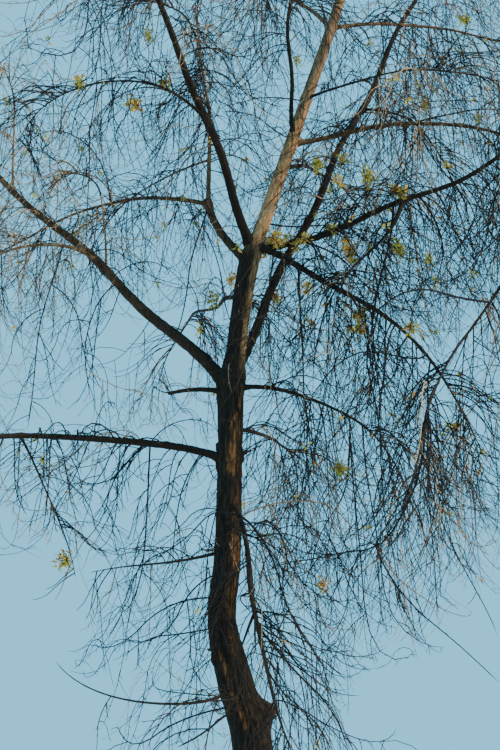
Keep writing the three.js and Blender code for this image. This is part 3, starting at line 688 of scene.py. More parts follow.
def rule_lines(points, tangents, share, numbers, seed, habit, steps=LINE_STEPS, sway=SWAY_LENGTH):
    """The lines and lengths of numbered twigs that leave points by the source's rule."""
    luck = [chance(seed, numbers, use) for use in range(8)]
    ways = side_ways(
        tangents,
        np.radians(habit.opening + OPENING_MORE * luck[2]),
        np.radians(SPIRAL_AROUND * numbers + SPIRAL_SCATTER * luck[1]),
    )
    rise = np.degrees(np.arcsin(np.clip(ways[:, 2], -1, 1)))
    fall = habit.droop * (HANG_LEAST + HANG_MORE * luck[3])
    lowest = np.maximum(HANG_LOWEST, HANG_FOLLOW * rise - fall)
    length = habit.reach * (habit.least + (1 - habit.least) * luck[4]) * (1 - TWIG_SHORTER * share)
    rises = np.stack([rise, lowest, lowest + HANG_LIFT + habit.lift * habit.droop * luck[6]], axis=1)
    lines = grow(
        points,
        np.degrees(np.arctan2(ways[:, 1], ways[:, 0])),
        HANG_TURN * (luck[5] - 0.5),
        rises,
        length,
        np.full(len(numbers), habit.lowest),
        luck[7],
        steps,
        sway,
    )
    return lines, length


# How twigs grow: longest reach, shortest share of it, droop, the least angle that they open by, where
# along them they hang lowest, and how much of the droop their tips rise again
Habit = namedtuple("Habit", "reach least droop opening lowest lift")
SIDE_HABIT = Habit(reach=None, least=0.45, droop=None, opening=52, lowest=0.42, lift=0.95)
WHIP_HABIT = Habit(reach=None, least=0.25, droop=80, opening=45, lowest=0.45, lift=1.2)
SHOOT_HABIT = Habit(reach=None, least=0.2, droop=60, opening=38, lowest=0.5, lift=0.8)
SPUR_HABIT = Habit(reach=None, least=0.35, droop=30, opening=40, lowest=0.5, lift=0.8)

# Masses that the photograph shows with open sky between their twigs, and the share of them that is there
SHOWN = {"lower_trunk_shoots": 0.2, "upper_trunk_shoots": 0.5}


def from_trunk(mass):
    """Whether a mass grows from the side of the trunk itself."""
    return mass.bough == 0 and mass.name != "top"


def mass_twigs(mass):
    """The twigs of one mass that have room, in the source's order, and then more of them."""
    made = plan()[mass.name]
    twigs = np.arange(TWIGS_TRIED)
    share = TWIG_FROM + (TWIG_TO - TWIG_FROM) * fraction(0.5 + SPIRAL_ALONG * twigs)
    points, tangents = along(made["stem"], share)
    habit = Habit(mass.reach, TWIG_LEAST, mass.droop, OPENING_LEAST, TWIG_JOINT, HANG_MORE_LIFT)
    lines, lengths = rule_lines(points, tangents, share, twigs, made["index"], habit)
    spots = lines[:, 1:].reshape(-1, 3)
    room = clear_of_limbs(spots) & in_own_space(spots, mass) & in_box(spots)
    keep = room.reshape(len(twigs), -1).all(axis=1)
    if from_trunk(mass):
        foot = np.linalg.norm(lines[:, 0] - made["line"][0], axis=1)
        keep &= foot >= made["inside"] + ROOM_FOOT
    kept = np.flatnonzero(keep)[: mass.twigs]
    kept = kept[chance(made["index"], kept, 51) < SHOWN.get(mass.name, 1)]
    return lines[kept], lengths[kept]


def side_twigs(limb):
    """Long twigs that grow straight from a bough by the same rule, and hang where they show sky between."""
    made = plan()[limb.name]
    number, reach, droop, first = SIDES[limb.name]
    wanted = int(round(number * limb.bough))
    bough_line = along(made["line"], np.linspace(0, bough_place(limb), LINE_STEPS + 1))[0]
    start = max(first, min(SIDE_LATEST_START, (made["inside"] + SIDE_BARE_FOOT) / limb.bough))
    twigs = np.arange(3 * wanted) + SIDE_NUMBER
    share = start + (SIDE_TO - start) * fraction(0.5 + SPIRAL_ALONG * twigs)
    points, tangents = along(bough_line, share)
    habit = SIDE_HABIT._replace(reach=reach, droop=droop)
    lines, lengths = rule_lines(points, tangents, share, twigs, made["index"] + SIDE_SEED, habit)
    away = np.linalg.norm(lines[:, 1:] - lines[:, :1], axis=2)
    near_foot = away < bough_radius(limb, made["inside"], start * limb.bough) + SIDE_NEAR_FOOT
    room = clear_of_limbs(lines[:, 1:].reshape(-1, 3), ROOM_SIDE).reshape(len(twigs), -1)
    keep = ((room | near_foot) & in_box(lines[:, 1:])).all(axis=1) & ~in_open_sky(lines).any(axis=1)
    kept = np.flatnonzero(keep)[:wanted]
    return lines[kept], lengths[kept]


@functools.lru_cache(maxsize=1)
def branch_lines():
    """The line of every thin branch that stands out."""
    made = {}
    for i, branch in enumerate(BRANCHES):
        if branch.on == "trunk":
            foot = at_height(plan()["trunk"][0], branch.at)
        elif branch.on in made:
            foot = along(made[branch.on], branch.at)[0]
        else:
            parent = LIMBS[INDEX[branch.on]]
            foot = along(plan()[branch.on]["line"], bough_place(parent, branch.at))[0]
        way = (branch.heading, branch.turn, branch.rises)
        made[branch.name] = grow(foot, *way, branch.length, TWIG_JOINT, SWAY_PHASE * i)[0]
    return made


# Twigs of one kind as arrays: middle lines, lengths, radii at the foot, share of it at the tip, and tones
Strands = namedtuple("Strands", "lines lengths feet tips tones")


def shoots(parents, habit, spacing, radius, steps, seed):
    """Finer twigs all along their parents by the same rule, most of them in the parent's tone."""
    span_used = SHOOT_TO - SHOOT_FROM
    count = np.maximum(1, np.round(parents.lengths * span_used / spacing)).astype(int)
    parent = np.repeat(np.arange(len(count)), count)
    order = np.arange(len(parent)) - np.repeat(np.cumsum(count) - count, count)
    luck = [chance(seed, order + PARENT_CHANCE * parent, use) for use in range(11, 15)]
    share = SHOOT_FROM + span_used * (order + SHOOT_EARLIEST + SHOOT_STRAY * luck[0]) / count[parent]
    place = share * (parents.lines.shape[1] - 1)
    span = place.astype(int)
    start, end = parents.lines[parent, span], parents.lines[parent, span + 1]
    points = start + (end - start) * (place - span)[:, None]
    numbers, sway = order + PARENT_TURN * parent, SHOOT_SWAY * habit.reach
    lines, lengths = rule_lines(points, unit(end - start), share, numbers, seed, habit, steps, sway)
    limit = SHOOT_THICKEST * parents.feet[parent] * (1 - (1 - parents.tips[parent]) * share)
    feet = np.minimum(radius * (SHOOT_THIN + SHOOT_THICKER * luck[1]), limit)
    other = 1 + (len(TWIG_TONES) * luck[3]).astype(int)
    tones = np.where(luck[2] < TONE_KEPT, parents.tones[parent], other)
    checked = lines[:, 1 + steps // 3 :]
    keep = in_box(lines).all(axis=1) & ~in_open_sky(checked).any(axis=1)
    clear = clear_of_limbs(checked[keep].reshape(-1, 3), ROOM_SHOOT)
    keep[keep] = clear.reshape(keep.sum(), -1).all(axis=1)
    return Strands(lines[keep], lengths[keep], feet[keep], np.full(keep.sum(), SHOOT_TIP), tones[keep])


class Crowding:
    """Counts the twigs in each small cell of the crown, so that finer twigs give way where it is full."""

    def __init__(self):
        self.shape = np.ceil((SOLID_BOX[1] - SOLID_BOX[0]) / CROWD_CELL).astype(int) + 2
        self.counts = np.zeros(self.shape.prod(), int)

    def cells(self, lines):
        """The numbers of the cells that lines pass through."""
        place = ((lines - SOLID_BOX[0]) / CROWD_CELL).astype(int)
        return (place[..., 0] * self.shape[1] + place[..., 1]) * self.shape[2] + place[..., 2]

    def add(self, lines):
        """Counts lines in, whether there is room or not."""
        for cells in self.cells(lines):
            self.counts[cells] += 1

    def take(self, lines, limit, seed):
        """Which lines have room, one after the other in a chance order; those that have are counted in."""
        kept = np.zeros(len(lines), bool)
        numbers = self.cells(lines[:, 1:])
        for k in np.argsort(chance(seed, np.arange(len(lines)), 19)):
            if self.counts[numbers[k]].mean() < limit:
                self.counts[numbers[k]] += 1
                kept[k] = True
        return kept


def picked(strands, keep):
    """The strands that are kept."""
    return Strands(*(part[keep] for part in strands))


class Store:
    """Collects tubes and blades for one joined mesh."""

    def __init__(self):
        self.vertices, self.quads, self.triangles = [], [], []
        self.quad_tones, self.triangle_tones = [], []
        self.count = 0

    def add_vertices(self, vertices):
        """Adds points and returns the number of the first."""
        first = self.count
        self.vertices.append(vertices.reshape(-1, 3))
        self.count += len(self.vertices[-1])
        return first

    def add_tubes(self, lines, radii, sides, tones):
        """Adds tubes (tube, ring, xyz) that end in a point, each with one tone."""
        if not len(lines):
            return
        tubes, rings = lines.shape[:2]
        rings -= 1
        tangents = unit(np.diff(lines, axis=1))
        lengthways = np.abs(tangents[:, :1, 0]) > 0.9
        normal = unit(np.cross(tangents[:, 0], np.where(lengthways, (0, 0, 1), (1, 0, 0))))
        angle = 2 * np.pi * np.arange(sides) / sides
        body = np.empty((tubes, rings, sides, 3))
        for i in range(rings):
            way = unit(tangents[:, i] + tangents[:, max(i - 1, 0)])
            normal = unit(normal - way * (normal * way).sum(1, keepdims=True))
            other = np.cross(way, normal)
            round_ = normal[:, None] * np.cos(angle)[:, None] + other[:, None] * np.sin(angle)[:, None]
            body[:, i] = lines[:, i, None] + round_ * radii[:, i, None, None]
        first = self.add_vertices(body)
        tips = self.add_vertices(lines[:, -1])
        tube = np.arange(tubes)[:, None, None] * rings * sides
        ring = np.arange(rings - 1)[None, :, None] * sides
        side = np.arange(sides)[None, None, :]
        after = (side + 1) % sides
        a, b = first + tube + ring + side, first + tube + ring + after
        self.quads.append(np.stack([a, b, b + sides, a + sides], axis=-1).reshape(-1, 4))
        self.quad_tones.append(np.repeat(tones, (rings - 1) * sides))
        end = first + tube[:, 0] + (rings - 1) * sides
        a, b = end + side[0], end + after[0]
        tip = np.broadcast_to(tips + np.arange(tubes)[:, None], a.shape)
        self.triangles.append(np.stack([a, b, tip], axis=-1).reshape(-1, 3))
        self.triangle_tones.append(np.repeat(tones, sides))
        foot = first + tube[:, 0]
        for k in range(1, sides - 1):
            self.triangles.append(np.concatenate([foot, foot + k + 1, foot + k], axis=1))
            self.triangle_tones.append(tones)

    def add_triangles(self, vertices, triangles, tones):
        """Adds loose triangles."""
        first = self.add_vertices(vertices)
        self.triangles.append(triangles + first)
        self.triangle_tones.append(tones)

    def make(self, name, materials, smooth=True):
        """The object of everything collected."""
        vertices = np.concatenate(self.vertices)
        quads = np.concatenate(self.quads) if self.quads else np.zeros((0, 4), int)
        triangles = np.concatenate(self.triangles)
        tones = np.concatenate(self.quad_tones + self.triangle_tones)
        return build_object(name, vertices, quads, triangles, materials, tones, smooth)


def build_object(name, vertices, quads, triangles, materials, tones=None, smooth=True):
    """A mesh object from arrays of points, quads and triangles."""
    mesh = bpy.data.meshes.new(name)
    mesh.vertices.add(len(vertices))
    mesh.vertices.foreach_set("co", np.asarray(vertices, np.float32).ravel())
    corners = np.concatenate([quads.ravel(), triangles.ravel()]).astype(np.int32)
    sizes = np.concatenate([np.full(len(quads), 4), np.full(len(triangles), 3)])
    mesh.loops.add(len(corners))
    mesh.loops.foreach_set("vertex_index", corners)
    mesh.polygons.add(len(sizes))
    starts = np.concatenate([[0], np.cumsum(sizes)[:-1]]).astype(np.int32)
    mesh.polygons.foreach_set("loop_start", starts)
    if tones is not None:
        mesh.polygons.foreach_set("material_index", np.asarray(tones, np.int32))
    mesh.polygons.foreach_set("use_smooth", np.full(len(sizes), smooth))
    mesh.update(calc_edges=True)
    mesh.validate()
    for material in materials:
        mesh.materials.append(material)
    made = bpy.data.objects.new(name, mesh)
    bpy.context.scene.collection.objects.link(made)
    return made


def smooth_line(line, steps):
    """A finer line through the same points."""
    points = np.vstack([2 * line[0] - line[1], line, 2 * line[-1] - line[-2]])
    place = np.linspace(0, len(line) - 1, steps + 1)
    span = np.minimum(place.astype(int), len(line) - 2)
    t = (place - span)[:, None]
    p0, p1, p2, p3 = (points[span + i] for i in range(4))
    bend = (2 * p0 - 5 * p1 + 4 * p2 - p3) * t**2 + (-p0 + 3 * p1 - 3 * p2 + p3) * t**3
    return 0.5 * (2 * p1 + (p2 - p0) * t + bend)


def line_frames(line, level_foot=False):
    """Two directions across a line at each of its points, carried along without twist."""
    ways = unit(np.gradient(line, axis=0))
    if level_foot:
        ways[0] = (0, 0, 1)
    normal = np.array((0, 0, 1.0) if abs(ways[0, 0]) > 0.9 else (1.0, 0, 0))
    normals = np.empty_like(line)
    for i, way in enumerate(ways):
        normal = unit(normal - way * normal.dot(way))
        normals[i] = normal
    return normals, np.cross(ways, normals)


def ring_faces(rings, sides):
    """Quads between rings, and the two flat ends."""
    ring = np.arange(rings - 1)[:, None] * sides
    side = np.arange(sides)[None]
    after = (side + 1) % sides
    quads = np.stack([ring + side, ring + after, ring + after + sides, ring + side + sides], axis=-1)
    fan = np.arange(1, sides - 1)
    last = (rings - 1) * sides
    foot = np.stack([np.zeros_like(fan), fan + 1, fan], axis=1)
    end = np.stack([np.full_like(fan, last), last + fan, last + fan + 1], axis=1)
    return quads.reshape(-1, 4), np.concatenate([foot, end])


def smoothstep(low, high, x):
    """A soft step from 0 at low to 1 at high."""
    t = np.clip((x - low) / (high - low), 0, 1)
    return t * t * (3 - 2 * t)


# Bark plates: how far their edges bend, across and lengthways; the scales across and up of the bends
# and of the grain; and the gaps to the next plate between which a furrow rises to a ridge
PLATE_BEND, BEND_LENGTHWAYS = 0.55, 0.25
BEND_ACROSS, BEND_UP, GRAIN_ACROSS, GRAIN_UP = 0.6, 1.7, 3.1, 5.3
FURROW_EDGE = (0.02, 0.42)


def bark_field(around, length, width, stretch, seed):
    """Bark plates and their grain: ridge height from 0 to 1 and grain from -1 to 1.

    around is the point's place on its round, in metres from the middle, and length its way up.
    """
    shape = length.shape
    across = around.reshape(-1, 2) / width[:, None].repeat(shape[1], axis=1).reshape(-1, 1)
    up = (length / (width[:, None] * stretch)).ravel()
    ridges, grain = np.empty(len(up)), np.empty(len(up))
    for k in range(len(up)):
        x, y, z = across[k, 0], across[k, 1], up[k] + seed
        bend = PLATE_BEND * noise.noise((x * BEND_ACROSS, y * BEND_ACROSS, z * BEND_UP))
        near = noise.voronoi((x + bend, y - bend, z + BEND_LENGTHWAYS * bend))[0]
        ridges[k] = near[1] - near[0]
        grain[k] = noise.noise((x * GRAIN_ACROSS, y * GRAIN_ACROSS, z * GRAIN_UP))
    return smoothstep(*FURROW_EDGE, ridges).reshape(shape), grain.reshape(shape)


def set_point_value(made, name, values):
    """Stores one number for each point of a mesh."""
    stored = made.data.attributes.new(name, "FLOAT", "POINT")
    stored.data.foreach_set("value", values.ravel().astype(np.float32))


# Patches of bare wood on the trunk, all on its front and right side towards the key light, so that their
# orange is also painted sunlight: height, heading, half height, half width in degrees and strength
BARE_AND_SUNLIT_PATCHES = (
    (5.43, -34, 0.15, 17, 0.9),
    (5.13, -64, 0.17, 27, 0.8),
    (4.83, -74, 0.17, 34, 1.0),
    (4.36, -58, 0.24, 26, 0.5),
    (3.90, -52, 0.24, 30, 1.0),
    (3.50, -50, 0.20, 30, 0.8),
    (6.45, -60, 0.16, 26, 0.6),
    (3.02, -60, 0.14, 22, 0.35),
)

# Their rims: how much the grain and the ridges shift them, and the values between which they fade
RIM_GRAIN, RIM_RIDGE, RIM_FADE = 0.9, 0.6, (1.15, 0.55)

# The long crack low on the trunk, from its upper to its lower end: heights, headings, half width in
# degrees, how bare it is, and the values between which its ends and its sides fade
CRACK_TOP, CRACK_FOOT = (2.98, -118), (2.30, -99)
CRACK_WIDE, CRACK_BARE, CRACK_ENDS, CRACK_SIDES = 8.5, 0.9, (0.55, 0.42), (1.2, 0.5)

# Young bark on the trunk above its forks, whose pale colour is also painted sunlight: the heights between
# which it begins and those between which it grows older, how far the grain shifts both, and the share of
# it that is lost
YOUNG_AND_SUNLIT_FROM, OLDER_FROM, YOUNG_AND_SUNLIT_GRAIN, OLDER_GRAIN, OLDER_SHARE = (7.0, 7.35), (7.9, 9.2), 0.12, 0.3, 0.55

# Painted sunlight on the side of the trunk below its forks that faces the key light: heading, half width,
# the heights it begins between, its strength, how far the grain shifts its sides, and the values between
# which they fade
PAINTED_SUN_SIDE, PAINTED_SUN_WIDE, PAINTED_SUN_FROM, PAINTED_SUN_STRENGTH = -22, 42, (5.65, 6.0), 0.6
PAINTED_SUN_GRAIN, PAINTED_SUN_FADE = 0.35, (1.2, 0.6)

# How the bark follows the trunk's radius: the radius from which it is full, the least share of that,
# and the powers by which the plates' width and the furrows' depth follow it
FULL_RADIUS, LEAST_SHARE, WIDTH_POWER, DEPTH_POWER = 0.19, 0.3, 0.7, 1.1

# The relief of the bark: the ridge height that lies on the trunk's round, the grain's share of the
# depth, and how much flatter, deeper and smoother bare wood is
RIDGE_LEVEL, GRAIN_RELIEF, BARE_FLATTER, BARE_DEEPER, BARE_SMOOTHER = 0.75, 0.18, 0.8, 0.35, 0.5

# Points of the trunk's middle line to a station, and where in the noise the bark of the trunk and of
# the boughs begins
TRUNK_FINE, TRUNK_SEED, BOUGH_SEED = 40, 3.0, 11.0

# Knots on the trunk: height, heading, radius and how far they stand out
KNOTS = (
    (4.86, 180, 0.060, 0.030),
    (4.86, 5, 0.050, 0.022),
    (3.3, 250, 0.045, 0.018),
    (2.95, 195, 0.055, 0.020),
    (5.3, 300, 0.040, 0.014),
    (6.2, 210, 0.036, 0.012),
    (6.75, 325, 0.040, 0.014),
    (1.55, 285, 0.060, 0.022),
    (7.75, 340, 0.030, 0.010),
    (8.9, 200, 0.028, 0.009),
    (1.1, 80, 0.06, 0.02),
    (3.9, 110, 0.045, 0.018),
    (4.97, 182, 0.040, 0.030),
    (4.76, 178, 0.034, 0.020),
)

# A knot's form in its own radius: where its rim is highest, the rim's breadth, and the depth and width
# of the hollow in its middle
KNOT_RIM, KNOT_BREADTH, HOLLOW_DEPTH, HOLLOW_WIDE = 0.55, 0.12, 0.5, 0.35

# The swelling where a bough leaves the trunk, in the bough's radius: its size, how far up its middle
# is, how much taller than wide it is, and how far it stands out
SWELL_SIZE, SWELL_UP, SWELL_TALL, SWELL_OUT = 1.7, 0.25, 1.3, 0.30


def turned(angle, heading):
    """How far angles are from a heading, in radians either way."""
    away = angle - np.radians(heading)
    return np.arctan2(np.sin(away), np.cos(away))


def trunk_shape(height, angle, radius):
    """The trunk's radius before its bark: buttresses, burl, knots and swellings under the boughs."""
    flare = np.maximum(0, 1 - height / FLARE_HEIGHT)
    shape = radius * (1 + FLARE_DEPTH * flare**2 * np.cos(FLARE_LOBES * angle))
    up = (height - BURL_HEIGHT) / BURL_TALL
    wide = np.degrees(turned(angle, BURL_HEADING)) / BURL_WIDE
    shape = shape + BURL_DEPTH * np.exp(-(up**2) - wide**2)
    for knot_height, heading, size, depth in KNOTS:
        across = turned(angle, heading) * radius / size
        away = np.hypot((height - knot_height) / size, across)
        rim = np.exp(-((away - KNOT_RIM) ** 2) / KNOT_BREADTH)
        rim = rim - HOLLOW_DEPTH * np.exp(-((away / HOLLOW_WIDE) ** 2))
        shape = shape + depth * rim
    for limb in LIMBS:
        if limb.on == "trunk" and limb.name != "top":
            size = SWELL_SIZE * limb.foot
            above = height - limb.at - SWELL_UP * limb.foot
            away = (above / (SWELL_TALL * size)) ** 2 + (turned(angle, limb.heading) * radius / size) ** 2
            shape = shape + SWELL_OUT * limb.foot * np.exp(-away)
    return shape


def ring_points(line, reach, angle, level_foot=False):
    """Points in rings round a line, at angles and as far out as reach says."""
    normals, others = line_frames(line, level_foot)
    return (
        line[:, None]
        + normals[:, None] * (reach * np.cos(angle))[..., None]
        + others[:, None] * (reach * np.sin(angle))[..., None]
    )


def bare_and_sunlit_wood(height, angle, ridge, grain):
    """How bare the trunk is, from 0 to 1: the patches where bark has flaked, also painted sunlight, and the
    long crack.
    """
    bare = np.zeros_like(ridge)
    for patch_height, heading, tall, wide, strength in BARE_AND_SUNLIT_PATCHES:
        up = (height - patch_height) / tall
        across = np.degrees(turned(angle, heading)) / wide
        ragged = up**2 + across**2 + RIM_GRAIN * grain + RIM_RIDGE * (ridge - 0.5)
        bare = np.maximum(bare, strength * smoothstep(*RIM_FADE, ragged))
    down = (CRACK_TOP[0] - height) / (CRACK_TOP[0] - CRACK_FOOT[0])
    heading = CRACK_TOP[1] + (CRACK_FOOT[1] - CRACK_TOP[1]) * down
    beside = np.abs(np.degrees(turned(angle, heading))) / CRACK_WIDE
    ends = smoothstep(*CRACK_ENDS, np.abs(down - 0.5))
    return np.maximum(bare, CRACK_BARE * ends * smoothstep(*CRACK_SIDES, beside + RIM_GRAIN * grain))


def young_and_sunlit_bark(height, angle, grain):
    """How far the trunk takes the pale young colour, from 0 to 1: above the fork young bark, also painted
    sunlight, and below it painted sunlight on the side that faces the key light.
    """
    older = smoothstep(*OLDER_FROM, height + OLDER_GRAIN * grain)
    young = smoothstep(*YOUNG_AND_SUNLIT_FROM, height + YOUNG_AND_SUNLIT_GRAIN * grain) * (1 - OLDER_SHARE * older)
    beside = np.degrees(turned(angle, PAINTED_SUN_SIDE)) / PAINTED_SUN_WIDE
    # Painted sunlight on the side of the trunk that faces the key light
    lit = smoothstep(*PAINTED_SUN_FADE, np.abs(beside) + PAINTED_SUN_GRAIN * grain) * smoothstep(*PAINTED_SUN_FROM, height)
    return np.maximum(young, PAINTED_SUN_STRENGTH * lit * (1 - young))


def make_trunk(sizes):
    """The trunk with its furrowed bark, standing on its flat cut."""
    rings = int(TRUNK_TOP / sizes.ring_step)
    places = np.linspace(0, len(TRUNK_STATIONS) - 1, TRUNK_FINE * len(TRUNK_STATIONS))
    middle = trunk_middle(places)
    radii = np.interp(places, np.arange(len(TRUNK_STATIONS)), [s[3] for s in TRUNK_STATIONS])
    heights = np.linspace(0, TRUNK_TOP, rings + 1)
    line = at_height(middle, heights)
    radius = np.interp(heights, middle[:, 2], radii)[:, None]
    angle = (2 * np.pi * np.arange(sizes.sides) / sizes.sides)[None]
    height = np.broadcast_to(heights[:, None], (rings + 1, sizes.sides))
    slender = np.clip(radius[:, 0] / FULL_RADIUS, LEAST_SHARE, 1)
    width = sizes.plate_width * slender**WIDTH_POWER
    around = np.stack([radius * np.cos(angle), radius * np.sin(angle)], axis=-1)
    ridge, grain = bark_field(around, height, width, sizes.plate_stretch, TRUNK_SEED)
    # Bare wood, partly painted sunlight on the patches of the trunk's lit side
    bare = bare_and_sunlit_wood(height, angle, ridge, grain)
    # Young pale bark that is also painted sunlight, and painted sunlight on the side facing the key light
    young = young_and_sunlit_bark(height, angle, grain)
    depth = sizes.furrow_depth * slender[:, None] ** DEPTH_POWER
    plates = (ridge - RIDGE_LEVEL) * (1 - BARE_FLATTER * bare) - BARE_DEEPER * bare
    relief = depth * plates + GRAIN_RELIEF * depth * grain * (1 - BARE_SMOOTHER * bare)
    reach = trunk_shape(height, angle, radius) + relief
    spots = ring_points(line, reach, angle, level_foot=True)
    spots[0, :, 2] = 0
    spots[:, :, 2] = np.maximum(spots[:, :, 2], 0)
    quads, ends = ring_faces(rings + 1, sizes.sides)
    values = {"ridge": ridge.ravel(), "bare": bare.ravel(), "young": young.ravel()}
    return stacked([(spots.reshape(-1, 3), quads, ends, values)] + [make_spur(*spur) for spur in SPURS])


# A dead spur: how deep in the trunk it begins, its thickness at both ends, how uneven it is along and
# round it, and its ridge height
SPUR_INSIDE, SPUR_THICKNESS, SPUR_UNEVEN, SPUR_LOBES, SPUR_RIDGE = 0.6, (1.5, 0.45), 0.12, 0.15, 0.6


def make_spur(height, heading, rise, length, radius):
    """A short dead spur that stands out from the trunk, ragged and broken at its end."""
    middle, trunk_radius = trunk_at(height)
    way = direction(heading, rise)
    place = np.linspace(SPUR_INSIDE * trunk_radius, trunk_radius + length, SPUR_RINGS)
    line = middle + place[:, None] * way
    taper = np.linspace(*SPUR_THICKNESS, SPUR_RINGS) + SPUR_UNEVEN * np.sin(7 * np.arange(SPUR_RINGS))
    angle = 2 * np.pi * np.arange(SPUR_SIDES) / SPUR_SIDES
    lobes = 1 + SPUR_LOBES * np.sin(3 * angle + np.arange(SPUR_RINGS)[:, None])
    spots = ring_points(line, radius * taper[:, None] * lobes, angle)
    quads, ends = ring_faces(SPUR_RINGS, SPUR_SIDES)
    count = SPUR_RINGS * SPUR_SIDES
    values = {"ridge": np.full(count, SPUR_RIDGE), "bare": np.zeros(count), "young": np.zeros(count)}
    return spots.reshape(-1, 3), quads, ends, values


def stacked(parts):
    """Several sets of points, quads, triangles and point values as one."""
    firsts = np.cumsum([0] + [len(part[0]) for part in parts[:-1]])
    vertices = np.concatenate([part[0] for part in parts])
    quads = np.concatenate([part[1] + first for part, first in zip(parts, firsts)])
    triangles = np.concatenate([part[2] + first for part, first in zip(parts, firsts)])
    values = {key: np.concatenate([part[3][key] for part in parts]) for key in parts[0][3]}
    return vertices, quads, triangles, values


# A bough's rings: how deep in its parent it begins, the fewest rings, points of its middle line to a
# step, and its sides for a metre of radius with the fewest and the most
BOUGH_INSIDE, BOUGH_RINGS, BOUGH_FINE, BOUGH_SIDES, SIDES_FEWEST, SIDES_MOST = 0.35, 12, 24, 700, 12, 36

# A bough's plates: their width as a share of the trunk's, the radius from which it is full, the least
# and most of it, and their length as a share of the trunk's
BOUGH_WIDTH, BOUGH_FULL_RADIUS, BOUGH_WIDTH_BOUNDS, BOUGH_STRETCH = 0.5, 0.05, (0.35, 1.1), 0.9

# A bough's relief in its radius: the furrows' depth and the grain, and the ridge height on its round
BOUGH_DEPTH, BOUGH_GRAIN, BOUGH_LEVEL = 0.115, 0.03, 0.7

# Where a limb leaves a bough, in the limb's radius: how far the bough swells and how far along
CHILD_SWELL, CHILD_LONG = 0.4, 2.5

# Knots on a bough: how many to a metre, their least size and how much it differs, and their height
KNOTS_TO_METRE, KNOT_LEAST, KNOT_MORE, KNOT_SWELL = 2.2, 0.5, 0.4, 0.28


def make_bough(limb, sizes):
    """One bough with its bark, from inside its parent to its joint."""
    made = plan()[limb.name]
    start = BOUGH_INSIDE * made["inside"]
    steps = max(BOUGH_RINGS, int((limb.bough - start) / sizes.bough_step))
    fine = smooth_line(made["line"], BOUGH_FINE * LINE_STEPS)
    total = limb.bough + limb.stem
    place = np.linspace(start, limb.bough, steps + 1)
    line = along(fine, place / total)[0]
    sides = int(np.clip(round(limb.foot * BOUGH_SIDES), SIDES_FEWEST, SIDES_MOST))
    angle = (2 * np.pi * np.arange(sides) / sides)[None]
    radius = bough_radius(limb, made["inside"], place)[:, None]
    width = BOUGH_WIDTH * sizes.plate_width * np.clip(radius[:, 0] / BOUGH_FULL_RADIUS, *BOUGH_WIDTH_BOUNDS)
    around = np.stack([radius * np.cos(angle), radius * np.sin(angle)], axis=-1)
    length = np.broadcast_to(place[:, None], (steps + 1, sides))
    stretch, seed = sizes.plate_stretch * BOUGH_STRETCH, BOUGH_SEED + made["index"]
    ridge, grain = bark_field(around, length, width, stretch, seed)
    swell = np.zeros_like(ridge)
    for child in LIMBS:
        if child.on == limb.name:
            away = (length - child.at * limb.bough) / (CHILD_LONG * child.foot)
            swell = swell + CHILD_SWELL * child.foot * np.exp(-(away**2))
    for knot in range(int(limb.bough * KNOTS_TO_METRE)):
        where = limb.bough * chance(made["index"], knot, 21)
        facing = 360 * chance(made["index"], knot, 22)
        size = radius * (KNOT_LEAST + KNOT_MORE * chance(made["index"], knot, 23))
        away = ((length - where) / size) ** 2 + (turned(angle, facing) * radius / size) ** 2
        swell = swell + KNOT_SWELL * radius * np.exp(-away)
    depth = BOUGH_DEPTH * radius
    reach = radius + swell + depth * (ridge - BOUGH_LEVEL) + BOUGH_GRAIN * radius * grain
    spots = ring_points(line, reach, angle)
    quads, ends = ring_faces(steps + 1, sides)
    return spots.reshape(-1, 3), quads, ends, ridge, length / limb.bough


# How far a bough's bark is young and pale, at its foot and at its tip; this pale colour is also painted
# sunlight
YOUNG_AND_SUNLIT_BARK = {
    "left_bough": (0.0, 0.25),
    "left_hanging_limb": (0.4, 0.6),
    "left_inner_shoot": (0.6, 0.7),
    "left_outer_shoot": (0.6, 0.7),
    "left_fork": (0.0, 0.25),
    "left_rising_bough": (0.45, 0.3),
    "left_rising_limb": (0.3, 0.4),
    "left_arching_bough": (0.2, 0.4),
    "upper_right_bough": (0.25, 0.1),
    "top_left_bough": (0.35, 0.3),
    "top_right_bough": (0.3, 0.2),
    "others": (0.0, 0.05),
}


def new_group(name, inputs, outputs):
    """A shader node group with named sockets."""
    group = bpy.data.node_groups.new(name, "ShaderNodeTree")
    for label, kind, default in inputs:
        socket = group.interface.new_socket(label, in_out="INPUT", socket_type=kind)
        socket.default_value = default
    for label, kind in outputs:
        group.interface.new_socket(label, in_out="OUTPUT", socket_type=kind)
    return group, group.nodes.new("NodeGroupInput"), group.nodes.new("NodeGroupOutput")


def add_node(tree, kind, values=None, **settings):
    """A node with its settings and the values of its inputs."""
    node = tree.nodes.new(kind)
    for key, value in settings.items():
        setattr(node, key, value)
    for key, value in (values or {}).items():
        node.inputs[key].default_value = value
    return node


def mix_colours(tree, factor, first, second, blend="MIX"):
    """The output of a colour mix; factor, first and second are sockets or values."""
    node = add_node(tree, "ShaderNodeMix", data_type="RGBA", blend_type=blend)
    for index, source in ((0, factor), (6, first), (7, second)):
        if isinstance(source, bpy.types.NodeSocket):
            tree.links.new(source, node.inputs[index])
        else:
            node.inputs[index].default_value = source
    return node.outputs[2]


def value_step(tree, source, low, high, to_low=0.0, to_high=1.0):
    """A value mapped smoothly from one range to another."""
    node = add_node(
        tree,
        "ShaderNodeMapRange",
        {"From Min": low, "From Max": high, "To Min": to_low, "To Max": to_high},
        interpolation_type="SMOOTHSTEP",
    )
    tree.links.new(source, node.inputs["Value"])
    return node.outputs["Result"]


